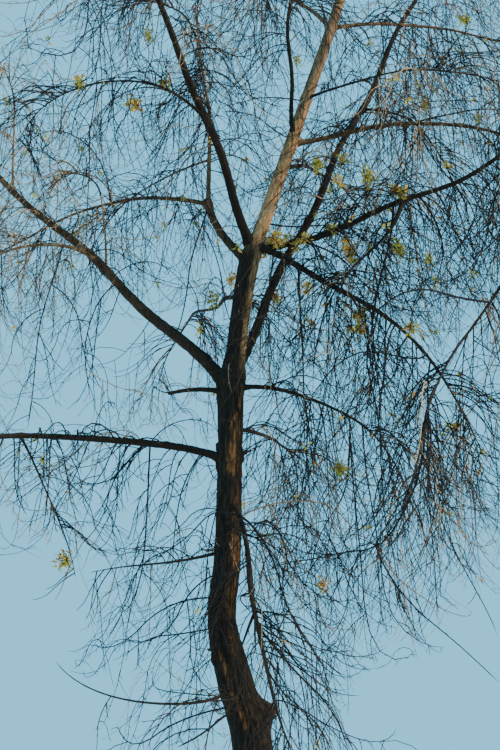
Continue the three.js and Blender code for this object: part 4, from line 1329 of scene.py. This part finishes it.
def noise_output(tree, vector, scale, detail=4.0, rough=0.55):
    """The value of a noise at a scale."""
    node = add_node(tree, "ShaderNodeTexNoise", {"Detail": detail, "Roughness": rough})
    tree.links.new(vector, node.inputs["Vector"])
    if isinstance(scale, bpy.types.NodeSocket):
        tree.links.new(scale, node.inputs["Scale"])
    else:
        node.inputs["Scale"].default_value = scale
    return node.outputs["Fac"]


def stretched_place(tree, stretch):
    """The object's own coordinates, drawn out along its height."""
    place = add_node(tree, "ShaderNodeTexCoord")
    mapping = add_node(tree, "ShaderNodeMapping", {"Scale": (1, 1, stretch)})
    tree.links.new(place.outputs["Object"], mapping.inputs["Vector"])
    return mapping.outputs["Vector"]


# The dark streaks in bare wood, and how high the speckles stand beside the grain
DARK_STREAK, SPECKLE_HEIGHT = (0.035, 0.016, 0.007, 1), 0.35


def bark_group():
    """Bark from its ridge height: furrows, ridges, young bark and torn bare wood, both partly painted
    sunlight, lichen and fine fibres.
    """
    colour, number = "NodeSocketColor", "NodeSocketFloat"
    group, source, result = new_group(
        "furrowed_bark",
        [
            ("Ridge", number, 0.5),
            # The bare share also paints sunlight on the patches of the trunk's lit side
            ("Bare", number, 0.0),
            # The young share also paints sunlight on the leader, the forks and the trunk's lit side
            ("Young", number, 0.0),
            ("Ridge Colour", colour, (0.1, 0.07, 0.05, 1)),
            ("Furrow Colour", colour, (0.01, 0.01, 0.01, 1)),
            ("Young Colour", colour, (0.3, 0.2, 0.1, 1)),
            ("Bare Colour", colour, (0.3, 0.15, 0.07, 1)),
            ("Lichen Colour", colour, (0.1, 0.12, 0.07, 1)),
            ("Lichen", number, 0.4),
            ("Grain Scale", number, 60.0),
        ],
        [("Color", colour), ("Roughness", number), ("Height", number)],
    )
    link = group.links.new
    ridge_colour, furrow_colour = source.outputs["Ridge Colour"], source.outputs["Furrow Colour"]
    young_and_sunlit_colour, bare_and_sunlit_colour = source.outputs["Young Colour"], source.outputs["Bare Colour"]
    even = stretched_place(group, 1.0)
    grain = noise_output(group, stretched_place(group, 0.10), source.outputs["Grain Scale"], 6.0, 0.7)
    broad = noise_output(group, stretched_place(group, 0.16), 26.0, 4.0, 0.6)
    cloudy = noise_output(group, even, 3.2, 3.0)
    speckle = noise_output(group, even, 48.0, 3.0)
    old = mix_colours(group, value_step(group, grain, 0.38, 0.68), furrow_colour, ridge_colour)
    patchy = mix_colours(group, value_step(group, broad, 0.44, 0.56), ridge_colour, young_and_sunlit_colour)
    pale = mix_colours(group, value_step(group, cloudy, 0.48, 0.62, 0, 0.8), patchy, young_and_sunlit_colour)
    # Pale young bark, which is also painted sunlight, where the young share is high
    tinted = mix_colours(group, source.outputs["Young"], old, pale)
    faint = mix_colours(group, 0.55, ridge_colour, young_and_sunlit_colour)
    seam = mix_colours(group, source.outputs["Young"], furrow_colour, faint)
    # Low ridge height turns the colour to the seam colour: darker in the furrows
    darker_in_furrows = mix_colours(group, value_step(group, source.outputs["Ridge"], 0.05, 0.7), seam, tinted)
    patch = add_node(group, "ShaderNodeMath", operation="MULTIPLY")
    link(value_step(group, cloudy, 0.48, 0.68), patch.inputs[0])
    link(value_step(group, speckle, 0.46, 0.6), patch.inputs[1])
    amount = add_node(group, "ShaderNodeMath", operation="MULTIPLY")
    link(patch.outputs[0], amount.inputs[0])
    link(source.outputs["Lichen"], amount.inputs[1])
    grown = mix_colours(group, amount.outputs[0], darker_in_furrows, source.outputs["Lichen Colour"])
    # Bare wood, and on the patches of the trunk's lit side painted sunlight
    bare_and_sunlit_share = add_node(group, "ShaderNodeMath", operation="MULTIPLY")
    link(source.outputs["Bare"], bare_and_sunlit_share.inputs[0])
    link(value_step(group, broad, 0.40, 0.56, 0.15, 1.0), bare_and_sunlit_share.inputs[1])
    streaked = mix_colours(group, value_step(group, grain, 0.40, 0.66), DARK_STREAK, bare_and_sunlit_colour)
    link(mix_colours(group, bare_and_sunlit_share.outputs[0], grown, streaked), result.inputs["Color"])
    link(value_step(group, grain, 0.3, 0.8, 0.98, 0.82), result.inputs["Roughness"])
    height = add_node(group, "ShaderNodeMath", operation="MULTIPLY_ADD")
    link(speckle, height.inputs[0])
    height.inputs[1].default_value = SPECKLE_HEIGHT
    link(grain, height.inputs[2])
    link(height.outputs[0], result.inputs["Height"])
    return group


def mottled_group():
    """Two tones in soft spots, for twigs and young leaves."""
    colour, number = "NodeSocketColor", "NodeSocketFloat"
    group, source, result = new_group(
        "mottled_tones",
        [
            ("First", colour, (0.1, 0.07, 0.05, 1)),
            ("Second", colour, (0.2, 0.15, 0.1, 1)),
            ("Scale", number, 40.0),
            ("Smoothest", number, 0.6),
        ],
        [("Color", colour), ("Roughness", number), ("Height", number)],
    )
    link = group.links.new
    place = stretched_place(group, 1.0)
    spots = noise_output(group, place, source.outputs["Scale"], 4.0, 0.6)
    second = value_step(group, spots, 0.35, 0.65)
    mottled = mix_colours(group, second, source.outputs["First"], source.outputs["Second"])
    link(mottled, result.inputs["Color"])
    rough = add_node(group, "ShaderNodeMapRange", {"From Min": 0.3, "From Max": 0.7, "To Max": 0.95})
    link(spots, rough.inputs["Value"])
    link(source.outputs["Smoothest"], rough.inputs["To Min"])
    link(rough.outputs["Result"], result.inputs["Roughness"])
    link(spots, result.inputs["Height"])
    return group


def finished_material(name, group, values, bump, distance, linked=(), specular=0.25):
    """A material whose colour, roughness and bump come from a shared group."""
    material = bpy.data.materials.new(name)
    material.use_nodes = True
    tree = material.node_tree
    shader = tree.nodes["Principled BSDF"]
    shader.inputs["Specular IOR Level"].default_value = specular
    node = add_node(tree, "ShaderNodeGroup", node_tree=group)
    for key, value in values.items():
        node.inputs[key].default_value = value
    for attribute, socket in linked:
        stored = add_node(tree, "ShaderNodeAttribute", attribute_name=attribute)
        tree.links.new(stored.outputs["Fac"], node.inputs[socket])
    relief = add_node(tree, "ShaderNodeBump", {"Strength": bump, "Distance": distance})
    tree.links.new(node.outputs["Height"], relief.inputs["Height"])
    tree.links.new(node.outputs["Color"], shader.inputs["Base Color"])
    tree.links.new(node.outputs["Roughness"], shader.inputs["Roughness"])
    tree.links.new(relief.outputs["Normal"], shader.inputs["Normal"])
    return material


def opaque(colour, strength=1.0):
    """A colour with its alpha, made lighter or darker."""
    return (*(min(1.0, part * strength) for part in colour), 1.0)


@functools.lru_cache(maxsize=None)
def shared_group(kind):
    """A shared node group, made once."""
    return {"bark": bark_group, "mottled": mottled_group}[kind]()


def bark_material(name, ridge, lichen, grain, bump, colours, linked):
    """Bark with its own ridge colour, lichen and grain."""
    values = {
        "Ridge Colour": opaque(ridge),
        "Furrow Colour": opaque(colours.furrow),
        "Young Colour": opaque(colours.upper_bark),
        "Bare Colour": opaque(colours.bare_and_sunlit_wood),
        "Lichen Colour": opaque(colours.lichen),
        "Lichen": lichen,
        "Grain Scale": grain,
    }
    return finished_material(name, shared_group("bark"), values, bump, 0.004, linked, 0.2)


def mottled_material(name, first, second, scale, smoothest, bump, distance=0.001, specular=0.25):
    """A material of two tones in soft spots."""
    values = {"First": first, "Second": second, "Scale": scale, "Smoothest": smoothest}
    return finished_material(name, shared_group("mottled"), values, bump, distance, specular=specular)


def twig_material(name, tone):
    """Smooth mottled bark of one tone."""
    return mottled_material(name, opaque(tone, 0.6), opaque(tone, 1.25), 45.0, 0.65, 0.25, specular=0.2)


# The twigs' colours, in the order of their materials after that of the stems
TWIG_TONES = ("dark_twig", "brown_twig", "tan_twig", "pale_twig")


def twig_materials(colours):
    """Bark for the stems, then the twigs' four tones."""
    dark, light = opaque(colours.furrow, 1.5), opaque(colours.ridge)
    stem = mottled_material("stem_bark", dark, light, 60.0, 0.8, 0.5, distance=0.003)
    return [stem] + [twig_material(name + "_bark", getattr(colours, name)) for name in TWIG_TONES]


# Shares of the twigs, added up, that are dark, brown and tan; the rest are pale. The dark tone is painted
# shade and the pale one painted sunlight: limbs on the left hold more pale and tan twigs, painted as
# sunlit, and those on the right nearly all dark ones, painted as in shade
TONE_SHARES = {
    "left_bough": (0.35, 0.6, 0.85),
    "left_hanging_limb": (0.3, 0.55, 0.85),
    "left_inner_shoot": (0.1, 0.25, 0.6),
    "left_outer_shoot": (0.05, 0.2, 0.5),
    "left_arching_bough": (0.45, 0.7, 0.9),
    "right_drooping_bough": (0.85, 0.94, 0.99),
    "right_weeping_limb": (0.82, 0.93, 0.98),
    "right_bough": (0.82, 0.93, 0.98),
    "low_right_bough": (0.82, 0.93, 0.98),
    "low_front_bough": (0.82, 0.94, 0.99),
    "low_left_bough": (0.78, 0.92, 0.98),
    "others": (0.68, 0.88, 0.97),
}


def twig_tones(limb, count, seed):
    """A tone for each twig: 1 dark, 2 brown, 3 tan or 4 pale."""
    bounds = TONE_SHARES.get(limb.name, TONE_SHARES["others"])
    return 1 + np.searchsorted(bounds, chance(seed, np.arange(count), 31))


# How fast a stem thins towards its tip
STEM_TAPER = {"low_front_bough": 0.55, "left_bough": 0.7, "right_weeping_limb": 0.7, "others": 0.85}

# A stem's steps and sides, its foot as a share of the bough's tip, its radius at the tip, and how
# uneven it is; where one leaves the trunk itself, how far it swells and over which share of it
STEM_STEPS, STEM_SIDES, STEM_FOOT, STEM_TIP, STEM_UNEVEN, STEM_WAVES = 40, 8, 0.97, 0.0025, 0.06, 90
STEM_SWELL, STEM_SWELL_LONG = 0.5, 0.12


def stem_tubes(store, mass):
    """The stem that carries a mass, from its bough's tip to its own."""
    made = plan()[mass.name]
    fine = smooth_line(made["stem"], STEM_STEPS)
    share = np.linspace(0, 1, len(fine))
    taper = STEM_TAPER.get(mass.name, STEM_TAPER["others"])
    radius = mass.joint * (1 - share) ** taper * STEM_FOOT + STEM_TIP
    radius = radius * (1 + STEM_UNEVEN * np.sin(share * STEM_WAVES + made["index"]))
    if from_trunk(mass):
        radius = radius * (1 + STEM_SWELL * np.exp(-share / STEM_SWELL_LONG))
    store.add_tubes(fine[None], radius[None], STEM_SIDES, np.array([0]))


def branch_strands(limb):
    """The thin branches that a limb carries, straight or by way of another branch."""
    made = branch_lines()
    names, lines, lengths, feet = [limb.name], [], [], []
    for branch in BRANCHES:
        if branch.on in names or branch.name in TRUNK_BRANCHES.get(limb.name, ()):
            names.append(branch.name)
            lines.append(made[branch.name])
            lengths.append(branch.length)
            feet.append(branch.foot)
    return np.array(lines).reshape(-1, LINE_STEPS + 1, 3), np.array(lengths), np.array(feet)


def strand_set(lines, lengths, feet, tip, tones):
    """Strands with one share for their tips."""
    return Strands(lines, lengths, feet, np.full(len(lines), tip), tones)


def joined(sets):
    """Several sets of strands with equal steps as one."""
    return Strands(*(np.concatenate(part) for part in zip(*sets)))


# Long twigs: their radius as a share of the twig radius, and more for each metre; how thin the tips of
# those by the rule and of those that stand out are; and the step between the seeds of their tones
LONG_THIN, LONG_THICKER, LONG_TIP, BRANCH_TIP, TONE_SEED = 0.75, 0.35, 0.45, 0.5, 100


def limb_strands(limb, sizes):
    """The long twigs of a limb: of its mass, of its bough and those that stand out."""
    index = INDEX[limb.name]
    sources = (mass_twigs if limb.stem else None, side_twigs if limb.name in SIDES else None)
    sets = []
    for group, source in enumerate(sources):
        if source:
            lines, lengths = source(limb)
            feet = sizes.twig_radius * (LONG_THIN + LONG_THICKER * lengths)
            tones = twig_tones(limb, len(lines), index + TONE_SEED * group)
            sets.append(strand_set(lines, lengths, feet, LONG_TIP, tones))
    lines, lengths, feet = branch_strands(limb)
    tones = twig_tones(limb, len(lines), index + TONE_SEED * 3)
    sets.append(strand_set(lines, lengths, feet, BRANCH_TIP, tones))
    return joined(sets)


# Steps along a hanging whip, a shoot and a spur, the sides of all twigs, and the seeds of the crown's
# pieces, of their shoots, of what gives way where it is full, and of their spurs
WHIP_STEPS, SHOOT_STEPS, SPUR_STEPS, TWIG_SIDES = 10, 4, 1, 3
PIECE_SEED, SHOOT_SEED, GIVE_WAY_SEED, SPUR_SEED = 200, 20, 30, 40


def crown_piece(name, members, sizes, materials, crowding):
    """One part of the crown: stems, long twigs, shoots and spurs of its limbs."""
    store = Store()
    long_twigs = joined([limb_strands(LIMBS[INDEX[member]], sizes) for member in members])
    crowding.add(long_twigs.lines[:, ::2])
    for member in members:
        if LIMBS[INDEX[member]].stem:
            stem_tubes(store, LIMBS[INDEX[member]])
    seed = PIECE_SEED + list(CROWN).index(name)
    whip = WHIP_HABIT._replace(reach=sizes.whip_length)
    shoot = SHOOT_HABIT._replace(reach=sizes.shoot_length)
    spur = SPUR_HABIT._replace(reach=sizes.spur_length)
    spacing = sizes.whip_spacing / CROWN_DENSITY[name]
    hanging = shoots(long_twigs, whip, spacing, sizes.whip_radius, WHIP_STEPS, seed)
    hanging = picked(hanging, crowding.take(hanging.lines, CROWD_WHIPS, seed))
    coarse, side, spurs = [long_twigs, hanging], [], []
    for k, each in enumerate(coarse):
        found = shoots(
            each, shoot, sizes.shoot_spacing, sizes.shoot_radius, SHOOT_STEPS, seed + SHOOT_SEED + k
        )
        kept = crowding.take(found.lines, CROWD_SHOOTS, seed + GIVE_WAY_SEED + k)
        side.append(picked(found, kept))
    for k, each in enumerate(coarse + side):
        spurs.append(
            shoots(each, spur, sizes.spur_spacing, sizes.spur_radius, SPUR_STEPS, seed + SPUR_SEED + k)
        )
    for strands in (*coarse, *side, *spurs):
        skip = 2 if strands is long_twigs else 1
        lines = strands.lines[:, ::skip]
        steps = lines.shape[1] - 1
        share = np.arange(steps) / steps
        radii = strands.feet[:, None] * (1 - (1 - strands.tips[:, None]) * share)
        store.add_tubes(lines, radii, TWIG_SIDES, strands.tones)
    CARRIERS.extend(coarse)
    made = store.make(name, materials)
    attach(made, "root")
    nodes = [node_of(LIMBS[INDEX[member]]) for member in members if LIMBS[INDEX[member]].stem]
    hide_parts(*nodes)
    return made


# How close the hanging whips stand in each piece of the crown
CROWN_DENSITY = {
    "left_crown_twigs": 0.9,
    "low_left_twigs": 0.5,
    "upper_crown_twigs": 1.0,
    "right_crown_twigs": 1.2,
    "upper_right_twigs": 1.2,
    "low_right_twigs": 1.2,
    "back_crown_twigs": 0.8,
}

# Long twigs made so far, as places where young leaves can sit
CARRIERS = []


def node_of(mass):
    """The name of the solid that a mass replaces."""
    return mass.name if from_trunk(mass) else mass.name + "_twigs"


# Groups of tufts that stand out in the photograph, as seen in the plane of the trunk: where the middle
# of each is, half its width and height, and its tufts. A row of two numbers is a single tuft.
TuftGroup = namedtuple("TuftGroup", "x height half_width half_height tufts", defaults=(0, 0, 1))
TUFTS_ROUND_FORK = (
    (0.31, 7.21, 0.27, 0.08, 9),
    (0.84, 7.35),
    (1.04, 7.12, 0.08, 0.10, 3),
    (1.56, 7.13, 0.05, 0.05, 3),
)
TUFTS_LEFT_OF_TRUNK = (
    (-0.19, 6.79),
    (-0.36, 6.52, 0.02, 0.09, 2),
    (-0.51, 6.22),
)
TUFTS_UNDER_RIGHT_BOUGHS = (
    (0.24, 6.58),
    (0.60, 6.68),
    (0.60, 6.30),
    (1.12, 6.33, 0.09, 0.12, 4),
    (1.63, 6.22),
    (1.85, 7.01),
)
TUFTS_ALONG_LEADER = (
    (0.99, 8.21),
    (0.73, 8.07, 0.01, 0.10, 2),
    (1.26, 7.98, 0.04, 0.10, 3),
    (0.98, 7.89, 0.06, 0.05, 2),
    (1.59, 7.77, 0.07, 0.05, 2),
)
TUFTS_HIGH = (
    (0.53, 9.43),
    (2.40, 9.97),
    (1.90, 8.89),
    (2.46, 8.71),
    (-1.87, 9.13, 0.03, 0.05, 2),
    (-1.13, 9.74, 0.03, 0.07, 2),
    (-1.25, 8.84, 0.03, 0.08, 2),
    (-0.92, 9.13),
)
TUFTS_LOW = (
    (2.01, 5.15, 0.04, 0.02, 2),
    (0.88, 4.74, 0.05, 0.04, 2),
    (0.68, 3.62),
    (-1.75, 3.87, 0.07, 0.04, 3),
)
TUFT_GROUPS = [
    TuftGroup(*row)
    for row in (
        *TUFTS_ROUND_FORK,
        *TUFTS_LEFT_OF_TRUNK,
        *TUFTS_UNDER_RIGHT_BOUGHS,
        *TUFTS_ALONG_LEADER,
        *TUFTS_HIGH,
        *TUFTS_LOW,
    )
]

# Leaves of a tuft and of an opening bud, how far they spread, and how seldom buds open: every so many
# points of the twigs are looked at, and a share of these has one; and the seeds of tufts and buds
TUFT_LEAVES, BUD_LEAVES = 46, 6
TUFT_SPREAD, BUD_SPREAD = 0.060, 0.025
BUD_EVERY, BUD_SHARE = 23, 0.12
TUFT_SEED, BUD_SEED = 9, 5

# How the nearest twig is found: the distance that angles are taken at, and how much depth counts
TUFT_DISTANCE, TUFT_DEPTH = 11.5, 0.02

# The short shoots that carry tufts: steps, rise of the bow as a share of the length, and radii
TUFT_STEPS, TUFT_BOW, TUFT_FOOT, TUFT_TIP = 4, 0.12, 0.0035, 0.0025


def group_places(group):
    """Places spread over a group of tufts in a spiral from its middle: x and height."""
    order = np.arange(group.tufts)
    reach = np.sqrt(order / max(group.tufts - 1, 1))
    angle = np.radians(SPIRAL_AROUND) * order
    x = group.x + group.half_width * reach * np.cos(angle)
    height = group.height + group.half_height * reach * np.sin(angle)
    return np.stack([x, height], axis=1)


def tuft_spots():
    """Where the tufts sit, and the twigs that they grow from.

    Those of the photograph grow on short shoots of the twig nearest to them as seen, the others by chance.
    """
    lines = [each.lines[:, 3:] for each in CARRIERS]
    points = np.concatenate([each[:, :-1].reshape(-1, 3) for each in lines])
    ways = unit(np.concatenate([np.diff(each, axis=1).reshape(-1, 3) for each in lines]))
    eye = np.array(EYE)
    rays = unit(points - eye)
    spots, feet = [], []
    for x, height in np.concatenate([group_places(group) for group in TUFT_GROUPS]):
        ray = unit(np.array((x, 0, height)) - eye)
        aside = np.linalg.norm(np.cross(rays, ray), axis=1) * TUFT_DISTANCE
        best = int(np.argmin(aside + TUFT_DEPTH * np.abs(points[:, 1])))
        place = eye + ray * np.dot(points[best] - eye, ray)
        spots.append((place, ways[best], TUFT_LEAVES, TUFT_SPREAD))
        feet.append(points[best])
    for k in range(0, len(points), BUD_EVERY):
        if chance(BUD_SEED, k, 71) < BUD_SHARE:
            spots.append((points[k], ways[k], BUD_LEAVES, BUD_SPREAD))
    return spots, np.array(feet)


def tuft_shoots(store, feet, tips):
    """The short bowed shoots that carry tufts."""
    share = np.linspace(0, 1, TUFT_STEPS + 1)[:, None]
    bow = np.array((0, 0, TUFT_BOW)) * np.sin(math.pi * share)
    apart = tips - feet
    lines = feet[:, None] + apart[:, None] * share + bow * np.linalg.norm(apart, axis=1)[:, None, None]
    radii = np.broadcast_to(np.linspace(TUFT_FOOT, TUFT_TIP, TUFT_STEPS), (len(lines), TUFT_STEPS))
    store.add_tubes(lines, radii, TWIG_SIDES, np.full(len(lines), len(LEAF_TONES)))


# Colours dealt out to the tufts, in the order of their materials
LEAF_TONES = ("leaf", "green_leaf", "flower")

# A young leaf in its own plane: x along it and y across, with a raised middle
LEAF_OUTLINE = np.array(
    (
        (0, 0, 0),
        (0.30, 0.26, 0.03),
        (0.62, 0.20, 0.05),
        (1, 0, 0),
        (0.62, -0.20, 0.05),
        (0.30, -0.26, 0.03),
        (0.45, 0, -0.03),
    )
)
LEAF_FACES = np.array(((0, 6, 1), (1, 6, 2), (2, 6, 3), (3, 6, 4), (4, 6, 5), (5, 6, 0)))


# How the leaves of a tuft lie: the least angle to the twig and how much it differs, how far they nod
# and curl down, and the share of them in the tuft's own colour
LEAF_OPENING, LEAF_OPENING_MORE, LEAF_NOD, LEAF_CURL, LEAF_TONE_KEPT = 20, 90, -0.35, -0.25, 0.7

# Their size as a share of the leaf length: the least and how much it differs, by tuft and by leaf
TUFT_LEAST, TUFT_MORE, LEAF_LEAST, LEAF_MORE = 0.7, 0.6, 0.5, 0.6


def leaf_mesh(sizes, materials):
    """All the tufts of young leaves, joined."""
    store = Store()
    spots, feet = tuft_spots()
    tuft_shoots(store, feet, np.array([spot[0] for spot in spots[: len(feet)]]))
    for k, (spot, way, leaves, spread) in enumerate(spots):
        large = TUFT_LEAST + TUFT_MORE * chance(TUFT_SEED, k, 81)
        tone = int(len(LEAF_TONES) * chance(TUFT_SEED, k, 82))
        for leaf in range(leaves):
            luck = [float(chance(k, leaf, use)) for use in range(83, 90)]
            opening = np.array([math.radians(LEAF_OPENING + LEAF_OPENING_MORE * luck[0])])
            out = side_ways(way[None], opening, np.array([2 * math.pi * luck[1]]))[0]
            out = unit(out + np.array((0, 0, LEAF_NOD * luck[2])))
            side = unit(np.cross(out, (0.3, 0.2, 1)))
            over = np.cross(out, side)
            size = sizes.leaf_length * large * (LEAF_LEAST + LEAF_MORE * luck[3])
            shape = LEAF_OUTLINE * size
            shape = shape + np.array((0, 0, LEAF_CURL)) * (LEAF_OUTLINE[:, :1] ** 2) * size
            foot = spot + spread * (way * 2 * (luck[4] - 0.5) + out * luck[6] ** 2)
            points = foot + shape[:, :1] * out + shape[:, 1:2] * side + shape[:, 2:] * over
            if in_box(points).all():
                shade = tone if luck[5] < LEAF_TONE_KEPT else (tone + 1) % len(LEAF_TONES)
                store.add_triangles(points, LEAF_FACES, np.full(len(LEAF_FACES), shade))
    return store.make("young_leaves", materials, smooth=False)


class OBJECT_OT_trunk_bark(bpy.types.Operator):
    """Make the trunk with its bark, burl, knots and spurs"""

    bl_idname = "object.winter_tree_trunk"
    bl_label = "Trunk bark"

    def execute(self, context):
        sizes, colours = context.scene.tree_trunk, context.scene.tree_colours
        vertices, quads, ends, values = make_trunk(sizes)
        linked = (("ridge", "Ridge"), ("bare", "Bare"), ("young", "Young"))
        material = bark_material(
            "trunk_bark", colours.ridge, lichen=0.2, grain=75.0, bump=0.7, colours=colours, linked=linked
        )
        made = build_object("trunk_with_bark", vertices, quads, ends, [material])
        for key, value in values.items():
            set_point_value(made, key, value)
        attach(made, "root")
        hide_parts("trunk")
        return {"FINISHED"}


class OBJECT_OT_bough_bark(bpy.types.Operator):
    """Make every bough with its bark"""

    bl_idname = "object.winter_tree_boughs"
    bl_label = "Bough bark"

    def execute(self, context):
        sizes, colours = context.scene.tree_trunk, context.scene.tree_colours
        linked = (("ridge", "Ridge"), ("young", "Young"))
        material = bark_material(
            "bough_bark", colours.bough, lichen=0.2, grain=110.0, bump=0.5, colours=colours, linked=linked
        )
        for limb in BOUGHS:
            vertices, quads, ends, ridge, along_bough = make_bough(limb, sizes)
            made = build_object(limb.name + "_bark", vertices, quads, ends, [material])
            set_point_value(made, "ridge", ridge)
            # The young share along a bough also paints sunlight on it
            foot, tip = YOUNG_AND_SUNLIT_BARK.get(limb.name, YOUNG_AND_SUNLIT_BARK["others"])
            set_point_value(made, "young", foot + (tip - foot) * along_bough)
            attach(made, "root")
            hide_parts(limb.name)
        return {"FINISHED"}


class OBJECT_OT_twigs(bpy.types.Operator):
    """Make the twigs of the whole crown"""

    bl_idname = "object.winter_tree_twigs"
    bl_label = "Twigs"

    def execute(self, context):
        CARRIERS.clear()
        crowding = Crowding()
        materials = twig_materials(context.scene.tree_colours)
        for name, members in CROWN.items():
            crown_piece(name, members, context.scene.tree_twigs, materials, crowding)
        return {"FINISHED"}


class OBJECT_OT_young_leaves(bpy.types.Operator):
    """Make the tufts of young leaves"""

    bl_idname = "object.winter_tree_leaves"
    bl_label = "Young leaves"

    def execute(self, context):
        colours = context.scene.tree_colours
        materials = []
        for name in LEAF_TONES:
            dark, light = opaque(getattr(colours, name), 0.7), opaque(getattr(colours, name), 1.25)
            materials.append(mottled_material(name, dark, light, 90.0, 0.4, 0.3, specular=0.4))
        materials.append(twig_material("tuft_twig_bark", colours.tan_twig))
        made = leaf_mesh(context.scene.tree_twigs, materials)
        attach(made, "root")
        return {"FINISHED"}


# The floor's colour and how far it lies below the tree's foot, the key light's colour and the way it
# comes from, and the camera's sensor and furthest view
FLOOR_COLOUR, FLOOR_BELOW = (0.72, 0.73, 0.73, 1), 0.002
KEY_COLOUR, KEY_FROM = (1.0, 0.80, 0.56), (0.86, -0.20, 0.50)
SENSOR_WIDTH, FURTHEST_VIEW = 36.0, 200.0


class OBJECT_OT_stage(bpy.types.Operator):
    """Make the plain floor, the soft light and the camera"""

    bl_idname = "object.winter_tree_stage"
    bl_label = "Stage"

    def execute(self, context):
        stage = context.scene.tree_stage
        half = stage.floor_size / 2
        corners = np.array(((-half, -half, 0), (half, -half, 0), (half, half, 0), (-half, half, 0)))
        corners = corners - np.array((0, 0, FLOOR_BELOW))
        square, none = np.array(((0, 1, 2, 3),)), np.zeros((0, 3), int)
        plain = bpy.data.materials.new("pale_floor")
        plain.use_nodes = True
        shader = plain.node_tree.nodes["Principled BSDF"]
        shader.inputs["Base Color"].default_value = FLOOR_COLOUR
        shader.inputs["Roughness"].default_value = 0.9
        floor = build_object("floor", corners, square, none, [plain])
        world = bpy.data.worlds.new("soft_sky")
        world.use_nodes = True
        background = world.node_tree.nodes["Background"]
        background.inputs["Color"].default_value = opaque(stage.sky_colour)
        background.inputs["Strength"].default_value = stage.sky_strength
        context.scene.world = world
        sun = bpy.data.lights.new("key", "SUN")
        sun.energy = stage.sun_strength
        sun.angle = stage.sun_width
        sun.color = KEY_COLOUR
        key = bpy.data.objects.new("key", sun)
        key.rotation_euler = Vector(KEY_FROM).to_track_quat("Z", "Y").to_euler()
        context.scene.collection.objects.link(key)
        lens = bpy.data.cameras.new("camera")
        lens.lens = LENS
        lens.sensor_width = SENSOR_WIDTH
        lens.clip_end = FURTHEST_VIEW
        camera = bpy.data.objects.new("camera", lens)
        camera.location = EYE
        camera.rotation_euler = (math.radians(90 + LOOK_UP), 0, 0)
        context.scene.collection.objects.link(camera)
        context.scene.camera = camera
        return {"FINISHED"}


class VIEW3D_PT_winter_tree(bpy.types.Panel):
    """Sizes, colours and steps of the bare winter tree"""

    bl_idname = "VIEW3D_PT_winter_tree"
    bl_label = "Bare winter tree"
    bl_space_type = "VIEW_3D"
    bl_region_type = "UI"
    bl_category = "Tree"

    def draw(self, context):
        for label, group in SETTINGS.items():
            box = self.layout.box()
            box.label(text=group.bl_rna.name)
            for key in group.__annotations__:
                box.prop(getattr(context.scene, label), key)
        for step in STEPS:
            self.layout.operator(step.bl_idname)


SETTINGS = {
    "tree_trunk": TrunkSizes,
    "tree_twigs": TwigSizes,
    "tree_colours": TreeColours,
    "tree_stage": StageSettings,
}
STEPS = (
    OBJECT_OT_stage,
    OBJECT_OT_trunk_bark,
    OBJECT_OT_bough_bark,
    OBJECT_OT_twigs,
    OBJECT_OT_young_leaves,
)


def register():
    """Registers the settings, the steps and the panel."""
    for each in (*SETTINGS.values(), *STEPS, VIEW3D_PT_winter_tree):
        bpy.utils.register_class(each)
    for label, group in SETTINGS.items():
        setattr(bpy.types.Scene, label, bpy.props.PointerProperty(type=group))


def unregister():
    """Removes what register added."""
    for label in SETTINGS:
        delattr(bpy.types.Scene, label)
    for each in (VIEW3D_PT_winter_tree, *reversed(STEPS), *reversed(SETTINGS.values())):
        bpy.utils.unregister_class(each)


def main():
    """Makes the whole tree."""
    register()
    for step in STEPS:
        group, name = step.bl_idname.split(".")
        if getattr(getattr(bpy.ops, group), name)() != {"FINISHED"}:
            raise RuntimeError("this step did not finish: " + step.bl_label)
    bpy.context.view_layer.update()


if __name__ == "__main__":
    main()
